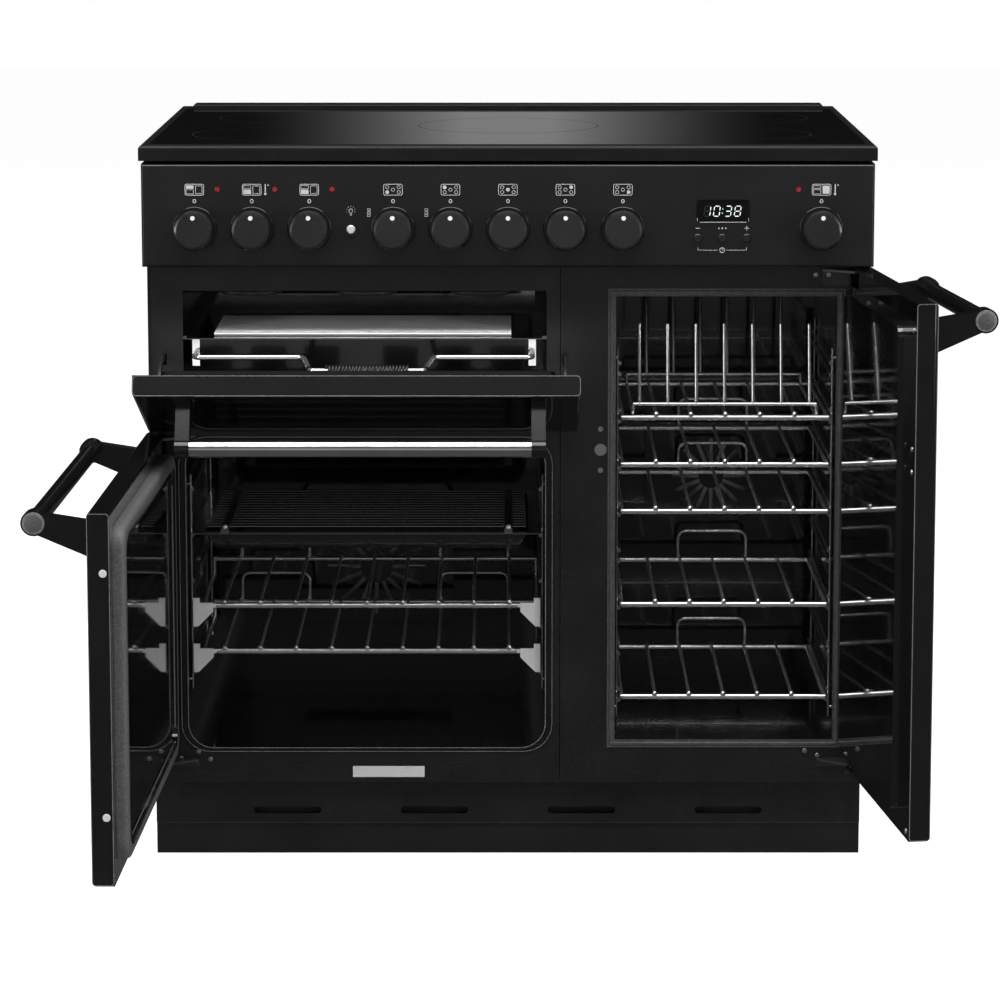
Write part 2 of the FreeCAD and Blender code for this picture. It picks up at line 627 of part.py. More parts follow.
def electrical_modules():
    pieces = []
    half = SWITCH_SIZE / 2
    for x in KNOB_X:
        body = box((x - half, x + half), (PANEL_SHEET, SWITCH_BACK),
                   (KNOB_Z - half, KNOB_Z + half))
        pieces.append(body.cut(disc(x, KNOB_Z, SPINDLE_RADIUS + SPINDLE_FIT,
                                    (0, SWITCH_BACK + THROUGH))))
    light = box(grown((LIGHT_X, LIGHT_X), LIGHT_BODY[0]), (PANEL_SHEET, SWITCH_BACK),
                grown((LIGHT_Z, LIGHT_Z), LIGHT_BODY[1]))
    pieces.append(light.cut(button_pocket(LIGHT_X, LIGHT_Z, LIGHT_RADIUS)))
    timer = box(TIMER_BODY[0:2], (PANEL_SHEET, SWITCH_BACK), TIMER_BODY[2:4])
    pockets = [cut for x in TIMER_X for cut in button_pocket(x, TIMER_Z, TIMER_RADIUS)]
    pieces.append(timer.cut(pockets))
    left, right, low, high, deep = TERMINALS
    pieces.append(box((INLET[0] + left, INLET[0] + right), (BACK_FACE - deep, BACK_FACE),
                      (INLET[1] + low, INLET[1] + high)))
    return group(pieces)


def lenses():
    pieces = []
    for x in LAMP_X:
        lens = disc(x, LAMP_Z, LAMP_RADIUS, (-LAMP_PROUD, PANEL_SHEET + LAMP_BODY))
        lip = disc(x, LAMP_Z, LAMP_RADIUS + LAMP_LIP, (PANEL_SHEET, PANEL_SHEET + LAMP_LIP_THICK))
        pieces.append(fuse([lens, lip]))
    pieces.append(box(grown(WINDOW[0:2], -WINDOW_FIT), (WINDOW_SINK, PANEL_SHEET),
                      grown(WINDOW[2:4], -WINDOW_FIT)))
    return group(pieces)


def turned(points, x, z):
    """Solid of revolution about a line along Y, from radii and depths."""
    corners = [Vector(x + r, at(d), z) for r, d in points]
    face = Part.Face(Part.makePolygon(corners + corners[:1]))
    return face.revolve(Vector(x, 0, z), ALONG_Y, 360)


def knob(x):
    front = -KNOB_REACH
    foot = -BEZEL_THICK - JOINT
    rim = KNOB_RADIUS
    outline = [(0, front), (rim - 4, front), (rim - 1.4, front + 0.8), (rim, front + 3.2),
               (rim, front + 6.5), (rim - 0.8, front + 7.3), (rim - 1.4, foot - 2.5),
               (rim - 1.1, foot), (KNOB_HOLLOW, foot), (KNOB_HOLLOW - 0.5, front + KNOB_FACE),
               (KNOB_BOSS, front + KNOB_FACE), (KNOB_BOSS, foot), (SPINDLE_RADIUS, foot),
               (SPINDLE_RADIUS, SPINDLE_END), (0, SPINDLE_END)]
    return turned(outline, x, KNOB_Z)


def push_button(x, z, radius, proud):
    lip_back = PANEL_SHEET + RUN + BUTTON_LIP_THICK
    outline = [(0, -proud), (radius - BUTTON_ROUND, -proud), (radius, BUTTON_ROUND - proud),
               (radius, PANEL_SHEET + RUN), (radius + BUTTON_LIP, PANEL_SHEET + RUN),
               (radius + BUTTON_LIP, lip_back), (STEM_RADIUS, lip_back),
               (STEM_RADIUS, BUTTON_STEM), (0, BUTTON_STEM)]
    return turned(outline, x, z)


# ---------------------------------------------------------------- hob
def hob_frame():
    outer = box((-WIDTH / 2, WIDTH / 2), (0, DEPTH), (HOB_BOTTOM, HEIGHT))
    top_edges = [e for e in outer.Edges if e.BoundBox.ZMin > HEIGHT - EPS]
    outer = outer.makeFillet(HOB_EDGE, top_edges)
    seat = HEIGHT - GLASS_THICK
    half = GLASS_HALF + JOINT
    deep = (GLASS_FRONT - JOINT, GLASS_BACK + JOINT)
    glass_pocket = flat_slab((-half, half), deep, (seat, HEIGHT + THROUGH), GLASS_CORNER + JOINT)
    well = box((-half + GLASS_LEDGE, half - GLASS_LEDGE), grown(deep, -GLASS_LEDGE),
               (HOB_BOTTOM + PANEL_SHEET, seat + THROUGH))
    frame = outer.cut([glass_pocket, well])
    strip_half, strip_front, strip_back, strip_high = VENT_STRIP
    strip = box((-strip_half, strip_half), (strip_front, strip_back),
                (HEIGHT, HEIGHT + strip_high))
    strip_top = HEIGHT + strip_high
    upper = [e for e in strip.Edges if e.BoundBox.ZMin > strip_top - EPS]
    strip = strip.makeFillet(VENT_STRIP_ROUND, upper)
    pitch = 2 * strip_half / VENT_STRIP_SLOTS
    middle = (strip_front + strip_back) / 2
    slots = []
    for i in range(VENT_STRIP_SLOTS):
        centre = (i - (VENT_STRIP_SLOTS - 1) / 2) * pitch
        slots.append(box(grown((centre, centre), pitch * 0.4),
                         grown((middle, middle), VENT_SLOT / 2),
                         (strip_top - VENT_SLOT_DEEP, strip_top + THROUGH)))
    return group([frame, strip.cut(slots)])


def flat_slab(x, depth, z, corner):
    """Level plate with rounded corners."""
    plate = box(x, depth, z)
    upright = [e for e in plate.Edges if e.BoundBox.ZMax - e.BoundBox.ZMin > (z[1] - z[0]) / 2]
    return plate.makeFillet(corner, upright)


def hob_glass():
    return flat_slab((-GLASS_HALF, GLASS_HALF), (GLASS_FRONT, GLASS_BACK),
                     (HEIGHT - GLASS_THICK, HEIGHT), GLASS_CORNER)


def hob_elements():
    low = HOB_BOTTOM + PANEL_SHEET
    high = HEIGHT - GLASS_THICK
    return group([Part.makeCylinder(r, high - low, Vector(x, at(d), low)) for x, d, r in ZONES])


# ---------------------------------------------------------------- ovens
def oven_shell(inside, front, corner):
    left, right, low, high, back = inside
    outer = slab((left - SHEET, right + SHEET), (low - SHEET, high + SHEET),
                 (front, back + SHEET), corner + SHEET if corner else 0)
    return outer.cut(slab((left, right), (low, high), (front - THROUGH, back), corner))


def shaft_hole(fan, back):
    return disc(fan[0], fan[1], SHAFT_RADIUS + SHAFT_SPACE, (back - THROUGH, back + SHEET + THROUGH))


def main_oven_cavity():
    left, right, low, high, back = MAIN_OVEN
    shell = oven_shell(MAIN_OVEN, FRAME_FACE, MAIN_CORNER)
    ring_depth = (FRAME_FACE - RIM_THICK, FRAME_FACE)
    ring = slab((left - RIM_WIDE, right + RIM_WIDE), (low - RIM_LOW, high + RIM_LOW),
                ring_depth, RIM_CORNER)
    ring = ring.cut(slab((left, right), (low, high), grown(ring_depth, THROUGH), MAIN_CORNER))
    return fuse([shell, ring]).cut(shaft_hole(MAIN_FAN, back))


def tall_oven_cavity():
    back = TALL_OVEN[4]
    return oven_shell(TALL_OVEN, FRAME_BACK, 0).cut(shaft_hole(TALL_FAN, back))


def grill_cavity():
    left, right, low, high, back = GRILL_BOX
    shell = oven_shell(GRILL_BOX, FRAME_BACK, 0)
    rail_top = PAN_RIM_Z - PAN_SHEET - RUN
    rails = []
    for wall, inward in ((left, 1), (right, -1)):
        x = sorted((wall, wall + inward * PAN_RAIL_WIDE))
        rails.append(box(x, (FRAME_BACK, PAN[3] + PAN_TRAVEL + PAN_RAIL_PAST),
                         (rail_top - PAN_RAIL, rail_top)))
    return fuse([shell] + rails)


def tall_oven_seal():
    left, right, low, high, back = TALL_OVEN
    depth = (FRAME_FACE - SEAL_THICK, FRAME_FACE)
    outer = slab(grown((left, right), SEAL_WIDE), grown((low, high), SEAL_WIDE), depth, SEAL_CORNER)
    return outer.cut(box((left, right), grown(depth, THROUGH), (low, high)))


def fan_cover(fan, back):
    x, z, radius = fan
    half = radius + FAN_COVER_ROUND
    front = back - FAN_DEEP
    wide, high = grown((x, x), half), grown((z, z), half)
    outer = slab(wide, high, (front, back), FAN_COVER_CORNER)
    inner = slab(grown(wide, -SHEET), grown(high, -SHEET), (front + SHEET, back + THROUGH),
                 FAN_COVER_CORNER - SHEET)
    slots = []
    for i in range(FAN_SLOTS):
        slot = box(grown((x, x), FAN_SLOT / 2), (front - THROUGH, front + SHEET + THROUGH),
                   (z + 0.3 * radius, z + 0.92 * radius))
        slots.append(swing(slot, Vector(x, 0, z), ALONG_Y, 360 * i / FAN_SLOTS))
    return outer.cut([inner] + slots)


def fan_covers():
    return group([fan_cover(MAIN_FAN, MAIN_OVEN[4]), fan_cover(TALL_FAN, TALL_OVEN[4])])


def impeller(fan, back):
    """Fan wheel with its shaft, which runs back into the motor."""
    x, z, radius = fan
    front, rear, tip = [back - reach for reach in FAN_WHEEL]
    plate = disc(x, z, radius, (front, rear))
    shaft = disc(x, z, SHAFT_RADIUS, (tip, back + MOTOR_LONG - SHAFT_SHORT))
    blades = []
    for i in range(FAN_BLADES):
        blade = box(grown((x, x), BLADE_THICK / 2), (tip, rear), (z + 0.55 * radius, z + radius))
        blades.append(swing(blade, Vector(x, 0, z), ALONG_Y, 360 * i / FAN_BLADES))
    return fuse([plate, shaft] + blades)


def fan_motors():
    motors = []
    for (x, z, radius), back in ((MAIN_FAN, MAIN_OVEN[4]), (TALL_FAN, TALL_OVEN[4])):
        body = disc(x, z, MOTOR_RADIUS, (back + SHEET, back + SHEET + MOTOR_LONG))
        motors.append(body.cut(disc(x, z, SHAFT_RADIUS + SPINDLE_FIT,
                                    (back, back + SHEET + MOTOR_LONG + THROUGH))))
    return group(motors)


def heating_elements():
    pieces = []
    for (x, z, radius), back in ((MAIN_FAN, MAIN_OVEN[4]), (TALL_FAN, TALL_OVEN[4])):
        reach = radius + RING_OUT
        ring = Part.makeTorus(reach, ELEMENT_WIRE, Vector(x, at(back - RING_OFF), z), ALONG_Y)
        turn = math.radians(RING_TAIL)
        tail_x, tail_z = x - reach * math.sin(turn), z - reach * math.cos(turn)
        tail = bar((tail_x, back - RING_OFF, tail_z), (tail_x, back, tail_z), TAIL_WIRE)
        pieces.append(fuse([ring, tail]))
    left, right, low, high, back = GRILL_BOX
    level = high - ELEMENT_DROP
    runs = [left + ELEMENT_INSET + i * (right - left - 2 * ELEMENT_INSET) / (ELEMENT_RUNS - 1)
            for i in range(ELEMENT_RUNS)]
    front, rear = back - ELEMENT_LONG, back - ELEMENT_REAR
    points = []
    for i, x in enumerate(runs):
        ends = (front, rear) if i % 2 else (rear, front)
        points += [(x, depth, level) for depth in ends]
    run = bent_wire(points, ELEMENT_WIRE, ELEMENT_BEND)
    hangers = [bar((x, HANGER_DEPTH, level), (x, HANGER_DEPTH, high), HANGER_WIRE)
               for x in (runs[0], runs[-1])]
    pieces.append(fuse([run] + hangers))
    return group(pieces)


# ---------------------------------------------------------------- side racks
def side_rack(wall, inward, levels, deep, low, high):
    """Wire rack on one oven wall: two uprights, pegs to the wall, and the shelf runners."""
    upright = wall + inward * RACK_OFF
    runner = wall + inward * RUNNER_OFF
    front, back = deep
    pieces = []
    for depth in (front, back):
        pieces.append(bar((upright, depth, low), (upright, depth, high), RACK_WIRE))
        for z in (low + PEG_INSET, high - PEG_INSET):
            pieces.append(bar((wall, depth, z), (upright, depth, z), RACK_WIRE))
    for z in levels:
        pieces.append(bar((runner, front - RUNNER_PAST, z), (runner, back + RUNNER_PAST, z),
                          RUNNER_WIRE))
    return fuse(pieces)


def tall_runner_levels():
    below = SIDE_WIRE + RUNNER_WIRE + RUN
    levels = []
    for i in range(TALL_LEVELS):
        low = TALL_FIRST + i * TALL_PITCH - below
        levels += [low, low + TALL_PAIR_GAP]
    return levels


def shelf_side_racks():
    pieces = []
    for oven, levels in ((MAIN_OVEN, MAIN_RUNNERS), (TALL_OVEN, tall_runner_levels())):
        low = levels[0] - RACK_BELOW
        high = levels[-1] + RACK_ABOVE
        deep = (RACK_FRONT, oven[4] - RACK_REAR)
        for wall, inward in ((oven[0], 1), (oven[1], -1)):
            pieces.append(side_rack(wall, inward, levels, deep, low, high))
    return group(pieces)


# ---------------------------------------------------------------- shelves
def rear_loop(x, depth, z):
    half = LOOP_WIDE / 2
    top = z + LOOP_HIGH
    return bent_wire([(x - half, depth, z), (x - half, depth, top), (x + half, depth, top),
                      (x + half, depth, z)], ROD_WIRE, LOOP_BEND)


def grid(oven, z, side_z, back, rods, inset, loops):
    """Frame bars, side wires and rods of one wire shelf, joined at every crossing."""
    left, right = oven[0] + SIDE_OFF, oven[1] - SIDE_OFF
    first = oven[0] + inset
    pitch = (oven[1] - inset - first) / (rods - 1)
    pieces = []
    for x in (left, right):
        pieces.append(bar((x, SHELF_FRONT, side_z), (x, back, side_z), SIDE_WIRE))
        if side_z < z:
            for depth in (SHELF_FRONT, back):
                pieces.append(bar((x, depth, side_z), (x, depth, z), SIDE_WIRE))
                pieces.append(ball((x, depth, side_z), SIDE_WIRE + BEND_SWELL))
    for depth in (SHELF_FRONT, back):
        pieces.append(bar((left, depth, z), (right, depth, z), BAR_WIRE))
        pieces += [ball((x, depth, z), BAR_WIRE + BEND_SWELL) for x in (left, right)]
    top = z + BAR_WIRE + ROD_WIRE - ROD_SINK
    for i in range(rods):
        x = first + i * pitch
        pieces.append(bar((x, SHELF_FRONT - ROD_PAST, top), (x, back + ROD_PAST, top), ROD_WIRE))
        pieces.append(ball((x, SHELF_FRONT - ROD_PAST - 1, top), BALL))
    for x in loops:
        pieces.append(rear_loop(x, back, z))
    return pieces


def shelf_bracket(x, inward, z, side_z):
    """Pressed plate at a front corner of a main oven shelf."""
    thick, wide, tab_wide, tab_top, top, drop, foot = CORNER_PLATE
    face = SHELF_FRONT - BAR_WIRE - thick + ROD_SINK
    out = x - inward * SIDE_WIRE
    low = side_z - SIDE_WIRE
    outline = [(0, low), (0, z + tab_top), (tab_wide, z + tab_top), (tab_wide, z + top),
               (wide, z + top), (wide, z - drop), (foot, low)]
    corners = [Vector(out + inward * px, at(face), pz) for px, pz in outline]
    plate = Part.Face(Part.makePolygon(corners + corners[:1]))
    return plate.extrude(Vector(0, thick, 0))


def main_shelf(z):
    runner = max(level for level in MAIN_RUNNERS if level < z)
    side_z = runner + RUNNER_WIRE + SIDE_WIRE + RUN
    middle = (MAIN_OVEN[0] + MAIN_OVEN[1]) / 2
    loops = (middle - MAIN_LOOP_OFF, middle + MAIN_LOOP_OFF)
    pieces = grid(MAIN_OVEN, z, side_z, MAIN_SHELF_BACK, MAIN_RODS, MAIN_ROD_INSET, loops)
    pieces.append(shelf_bracket(MAIN_OVEN[0] + SIDE_OFF, 1, z, side_z))
    pieces.append(shelf_bracket(MAIN_OVEN[1] - SIDE_OFF, -1, z, side_z))
    return fuse(pieces)


def tall_shelf_pieces(level, loops=True):
    z = TALL_FIRST + level * TALL_PITCH
    middle = (TALL_OVEN[0] + TALL_OVEN[1]) / 2
    return grid(TALL_OVEN, z, z, TALL_SHELF_BACK, TALL_RODS, TALL_ROD_INSET,
                (middle,) if loops else ())


def tall_shelf(level):
    return fuse(tall_shelf_pieces(level))


def plate_rack_shelf():
    """Top shelf of the tall oven, with two rows of uprights that hold plates on edge."""
    z = TALL_FIRST + PLATE_RACK_LEVEL * TALL_PITCH
    pieces = tall_shelf_pieces(PLATE_RACK_LEVEL, loops=False)
    middle = (TALL_OVEN[0] + TALL_OVEN[1]) / 2
    rail_z = z + PLATE_RAIL
    ends = grown((middle, middle), PLATE_PITCH * (PLATE_UPRIGHTS - 1) / 2 + PLATE_MARGIN)
    for depth, count in ((SHELF_FRONT + PLATE_INSET, PLATE_UPRIGHTS),
                         (TALL_SHELF_BACK - PLATE_INSET, PLATE_UPRIGHTS - 1)):
        pieces.append(bar((ends[0], depth, rail_z), (ends[1], depth, rail_z), ROD_WIRE))
        for i in range(count):
            x = middle + (i - (count - 1) / 2) * PLATE_PITCH
            tip = (x, depth + PLATE_LEAN, z + PLATE_HIGH)
            pieces.append(bar((x, depth, rail_z), tip, ROD_WIRE))
            pieces.append(ball(tip, ROD_WIRE))
        for x in ends:
            pieces.append(bar((x, depth, rail_z), (x, depth, z), POST_WIRE))
    for x in ends:
        pieces.append(bar((x, SHELF_FRONT, z), (x, TALL_SHELF_BACK, z), ROD_WIRE))
    return fuse(pieces)


def loft(low, high):
    """Solid between two level rectangles, each given as X, depth and a height."""
    wires = []
    for x, depth, z in (low, high):
        corners = [(x[0], depth[0]), (x[1], depth[0]), (x[1], depth[1]), (x[0], depth[1])]
        points = [Vector(px, at(d), z) for px, d in corners]
        wires.append(Part.makePolygon(points + points[:1]))
    return Part.makeLoft(wires, True, True)


def dish(rim_x, rim_depth, rim_z, floor_z, slope, sheet, lip):
    """Pressed dish with sloping walls and a flat lip all round."""
    top = (grown(rim_x, -lip), grown(rim_depth, -lip))
    low = (grown(top[0], -slope), grown(top[1], -slope))
    outer = loft((low[0], low[1], floor_z), (top[0], top[1], rim_z))
    inner = loft((grown(low[0], -sheet), grown(low[1], -sheet), floor_z + sheet),
                 (grown(top[0], -sheet), grown(top[1], -sheet), rim_z + SLIVER))
    rim = box(rim_x, rim_depth, (rim_z - sheet, rim_z))
    hole = loft((low[0], low[1], floor_z), (top[0], top[1], rim_z + SLIVER))
    rim = rim.cut(hole)
    return fuse([outer.cut(inner), rim])


def roasting_tray():
    runner = MAIN_RUNNERS[ROAST_LEVEL]
    bottom = runner + RUNNER_WIRE + RUN
    rim_z = bottom + ROAST_SHEET
    x = grown(MAIN_OVEN[0:2], -ROAST_SIDE)
    tray = dish(x, (ROAST_FRONT, ROAST_BACK), rim_z, rim_z - ROAST_DEEP, ROAST_SLOPE,
                ROAST_SHEET, ROAST_LIP)
    wires = []
    grid_z = rim_z + ROAST_RACK_UP
    ends = grown(x, -ROAST_RACK_INSET)
    first = ROAST_FRONT + ROAST_RACK_ENDS
    pitch = (ROAST_BACK - ROAST_RACK_ENDS - first) / (ROAST_WIRES - 1)
    for i in range(ROAST_WIRES):
        depth = first + i * pitch
        wires.append(bar((ends[0], depth, grid_z), (ends[1], depth, grid_z), ROAST_WIRE))
    for middle in grown(ends, -ROAST_STRAP_IN):
        wires.append(box(grown((middle, middle), ROAST_STRAP),
                         grown((ROAST_FRONT, ROAST_BACK), -ROAST_STRAP_ENDS), (rim_z, grid_z + 1)))
    return group([tray, fuse(wires)])


# ---------------------------------------------------------------- grill pan
def grill_pan():
    return dish(PAN[0:2], PAN[2:4], PAN_RIM_Z, PAN_FLOOR_Z, PAN_SLOPE, PAN_SHEET, PAN_RIM)


def grill_trivet():
    left, right, front = TRIVET
    z = PAN_RIM_Z + 1
    rail_z = z - TRIVET_DROP
    depths = [front + TRIVET_END + i * TRIVET_PITCH for i in range(TRIVET_WIRES)]
    pieces = [bar((left, depth, z), (right, depth, z), TRIVET_WIRE) for depth in depths]
    foot = PAN_FLOOR_Z + PAN_SHEET
    for x in (left + TRIVET_INSET, right - TRIVET_INSET):
        pieces.append(bar((x, depths[0], rail_z), (x, depths[-1], rail_z), TRIVET_FRAME))
        for depth in (depths[1], depths[-2]):
            pieces.append(bar((x, depth, foot), (x, depth, z), TRIVET_FRAME))
    return fuse(pieces)


def biarc(start, start_way, end, end_way):
    """Two tangent arcs from one point and direction to another."""
    span = end - start
    both = start_way + end_way
    spread = 2 * (1 - start_way.dot(end_way))
    along = span.dot(both)
    reach = (math.sqrt(along ** 2 + spread * span.dot(span)) - along) / spread
    first, last = start + start_way * reach, end - end_way * reach
    meet = (first + last) * 0.5
    arcs = []
    for a, corner, b in ((start, first, meet), (meet, last, end)):
        chord = (a + b) * 0.5
        half_turn = (corner - a).getAngle(b - corner) / 2
        share = math.cos(half_turn) / (1 + math.cos(half_turn))
        arcs.append(Part.Arc(a, chord + (corner - chord) * share, b).toShape())
    return arcs


def coiled_grip():
    """Wire coil wound round the middle of the pan's handle, with straight ends."""
    left, right, depth, z = GRIP
    radius = HANDLE_WIRE + GRIP_SLACK + GRIP_WIRE
    tail = 2 * GRIP_WIRE
    pitch = (right - left - tail) / GRIP_TURNS
    points, ways = [], []
    for i in range(2 * GRIP_TURNS + 1):
        turn = math.pi * i
        points.append(Vector(left + GRIP_WIRE + pitch * i / 2, at(depth) + radius * math.sin(turn),
                             z + radius * math.cos(turn)))
        way = Vector(pitch / (2 * math.pi), radius * math.cos(turn), -radius * math.sin(turn))
        ways.append(way.normalize())
    start, end = points[0] - ways[0] * tail, points[-1] + ways[-1] * tail
    edges = [Part.LineSegment(start, points[0]).toShape()]
    for i in range(2 * GRIP_TURNS):
        edges += biarc(points[i], ways[i], points[i + 1], ways[i + 1])
    edges.append(Part.LineSegment(points[-1], end).toShape())
    path = Part.Wire(edges)
    section = Part.Wire(Part.makeCircle(GRIP_WIRE, start, ways[0]))
    samples = [p for edge in edges for p in edge.discretize(9)]
    gap = min((p - q).Length for i, p in enumerate(samples) for q in samples[i + 32:])
    print("coiled grip: least gap between turns", round(gap - 2 * GRIP_WIRE, 2))
    return path.makePipeShell([section], True, False)


def grill_pan_handle():
    left, right = HANDLE_ENDS
    depth, z = HANDLE_DEPTH, HANDLE_Z
    grip_depth, grip_z = GRIP[2:4]
    front_wall = PAN[2] + PAN_RIM + PAN_SLOPE * 0.35
    roots = grown((HANDLE_MIDDLE, HANDLE_MIDDLE), HANDLE_HALF)
    path = [(left, front_wall, z), (left, depth, z), (roots[0], depth, z),
            (roots[0] + HANDLE_LEAN, grip_depth, grip_z),
            (roots[1] - HANDLE_LEAN, grip_depth, grip_z), (roots[1], depth, z),
            (right, depth, z), (right, front_wall, z)]
    frame = bent_wire(path, HANDLE_WIRE, HANDLE_CORNER)
    clips = []
    wall = PAN[2] + PAN_RIM
    for x in (left, right):
        clips.append(box(grown((x, x), CLIP_HALF), (wall - CLIP_THICK, wall),
                         (z - CLIP_DROP, PAN_RIM_Z - PAN_SHEET)))
    return group([fuse([frame] + clips), coiled_grip()])


# ---------------------------------------------------------------- doors
def door_skin(door):
    x, z = door[0:2], door[2:4]
    outer = box(x, (DOOR_FACE, DOOR_EDGE), z)
    outer = outer.makeFillet(DOOR_ROUND, edges_at(outer, DOOR_FACE))
    inner = box(grown(x, -DOOR_SHEET), (DOOR_FACE + DOOR_SHEET, DOOR_EDGE + THROUGH),
                grown(z, -DOOR_SHEET))
    inner = inner.makeFillet(DOOR_ROUND - DOOR_SHEET, edges_at(inner, DOOR_FACE + DOOR_SHEET))
    return outer.cut(inner)


def door_liner(door, face, notches):
    """Flat sheet inside the skin's edge with a raised pan, notched where hinges reach in."""
    x = grown(door[0:2], -DOOR_SHEET)
    z = grown(door[2:4], -DOOR_SHEET)
    back = DOOR_EDGE
    sheet = box(x, (back - DOOR_SHEET, back), z)
    pan_x = grown(x, -LINER_INSET + DOOR_SHEET)
    pan_z = grown(z, -LINER_INSET + DOOR_SHEET)
    raised = slab(pan_x, pan_z, (back - DOOR_SHEET, face), LINER_CORNER)
    hollow = slab(grown(pan_x, -DOOR_SHEET), grown(pan_z, -DOOR_SHEET),
                  (back - DOOR_SHEET - THROUGH, face - DOOR_SHEET), LINER_CORNER - DOOR_SHEET)
    liner = fuse([sheet, raised]).cut([hollow] + notches)
    return liner, pan_x, pan_z


NOTCH_DEPTH = (DOOR_EDGE - DOOR_SHEET - THROUGH, SIDE_FRONT + 5)


def side_door_notches(door, hinge_at_left):
    edge = door[0] if hinge_at_left else door[1]
    x = sorted((edge, edge + (HINGE_REACH if hinge_at_left else -HINGE_REACH)))
    return [box(x, NOTCH_DEPTH, (door[2], door[2] + HINGE_NOTCH)),
            box(x, NOTCH_DEPTH, (door[3] - HINGE_NOTCH, door[3]))]


def pin_holes(hinge, door):
    """Cuts in a side-hung skin: the pins' bores, and slots that clear the hinge arms."""
    bore = PIN_RADIUS + PIN_FIT
    cuts = [Part.makeCylinder(bore, door[3] - door[2] + 2 * THROUGH,
                              Vector(hinge[0], at(hinge[1]), door[2] - THROUGH))]
    edge = door[0] if hinge[0] < (door[0] + door[1]) / 2 else door[1]
    for upper in (False, True):
        base = arm_height(door, upper)
        cuts.append(box(grown((edge, edge), ARM_SPACE),
                        (hinge[1] - PIN_RADIUS, DOOR_EDGE + THROUGH),
                        grown((base, base + BRACKET_THICK), ARM_SPACE)))
    return cuts


def main_door_skin():
    return open_main(door_skin(MAIN_DOOR).cut(pin_holes(MAIN_HINGE, MAIN_DOOR)))


def main_door_liner():
    notches = side_door_notches(MAIN_DOOR, True)
    liner, pan_x, pan_z = door_liner(MAIN_DOOR, MAIN_LINER_FACE, notches)
    seat = (MAIN_LINER_FACE, GASKET_FACE)
    ring = slab(grown(pan_x, -GASKET_INSET), grown(pan_z, -GASKET_INSET), seat, GASKET_CORNER)
    inset = GASKET_INSET + GASKET_WIDE
    gasket = ring.cut(slab(grown(pan_x, -inset), grown(pan_z, -inset), grown(seat, THROUGH),
                           GASKET_CORNER - GASKET_WIDE))
    gasket = gasket.cut(notches)
    return open_main(group([liner, gasket]))


def tall_door_skin():
    return open_tall(door_skin(TALL_DOOR).cut(pin_holes(TALL_HINGE, TALL_DOOR)))


def tall_door_liner():
    liner = door_liner(TALL_DOOR, TALL_LINER_FACE, side_door_notches(TALL_DOOR, False))[0]
    return open_tall(liner)


def grill_door_skin():
    pivot = GRILL_PIVOT
    bore = bar((GRILL_DOOR[0] - THROUGH, *pivot), (GRILL_DOOR[1] + THROUGH, *pivot),
               EAR_PIN + PIN_FIT)
    return open_grill(door_skin(GRILL_DOOR).cut(bore))


def grill_door_liner():
    low = (GRILL_DOOR[2], GRILL_PIVOT[1] + EAR_NOTCH)
    notches = [box((x - EAR_THICK, x + 2 * EAR_THICK), NOTCH_DEPTH, low) for x in EAR_X]
    return open_grill(door_liner(GRILL_DOOR, GRILL_LINER_FACE, notches)[0])


def grill_door_stays():
    """Curved stays that run back through the front frame as the door closes."""
    inner, outer = STAY_RADIUS
    depth, z = GRILL_PIVOT
    start = math.degrees(math.asin((DOOR_EDGE - depth) / inner))

    def on_arc(radius, degrees, x):
        turn = math.radians(degrees)
        return Vector(x, at(depth) + radius * math.sin(turn), z + radius * math.cos(turn))

    pieces = []
    for x in STAY_X:
        left = x - STAY_THICK / 2
        middle = (start + STAY_END) / 2
        edges = [Part.Arc(on_arc(outer, start, left), on_arc(outer, middle, left),
                          on_arc(outer, STAY_END, left)).toShape(),
                 Part.LineSegment(on_arc(outer, STAY_END, left),
                                  on_arc(inner, STAY_END, left)).toShape(),
                 Part.Arc(on_arc(inner, STAY_END, left), on_arc(inner, middle, left),
                          on_arc(inner, start, left)).toShape(),
                 Part.LineSegment(on_arc(inner, start, left),
                                  on_arc(outer, start, left)).toShape()]
        curve = Part.Face(Part.Wire(edges)).extrude(Vector(STAY_THICK, 0, 0))
        foot = box((left, left + STAY_THICK), (DOOR_EDGE, DOOR_EDGE + STAY_FOOT_THICK),
                   (z + inner - STAY_FOOT, z + outer + STAY_FOOT))
        pieces.append(fuse([curve, foot]))
    return open_grill(group(pieces))


def handle(rail, standoff, capped):
    """Round rail on two tapered arms that stand on the door's face."""
    left, right, z = rail
    axis = DOOR_FACE - standoff
    foot = z - ARM_RISE
    end = ARM_END if capped else RAIL_RADIUS + 1
    half = ARM_FOOT / 2
    pieces = []
    for x in (left, right - ARM_THICK):
        span = (x, x + ARM_THICK)
        blade = profile([(DOOR_FACE, foot - half), (DOOR_FACE, foot + half),
                         (axis + 4, z + end * 0.75), (axis - 2, z - end * 0.75)], span)
        knuckle = bar((x, axis, z), (x + ARM_THICK, axis, z), end)
        pieces.append(fuse([blade, knuckle]))
    pieces.append(bar((left + ARM_THICK, axis, z), (right - ARM_THICK, axis, z), RAIL_RADIUS))
    return group(pieces)


def main_door_handle():
    return open_main(handle(MAIN_RAIL, SIDE_STANDOFF, True))


def tall_door_handle():
    return open_tall(handle(TALL_RAIL, SIDE_STANDOFF, True))


def grill_door_handle():
    return open_grill(handle(GRILL_RAIL, GRILL_STANDOFF, False))


# ---------------------------------------------------------------- hinges
def arm_height(door, upper):
    """Underside of a hinge arm, just inside the door's turned edge."""
    return door[3] - UPPER_ARM if upper else door[2] + LOWER_ARM


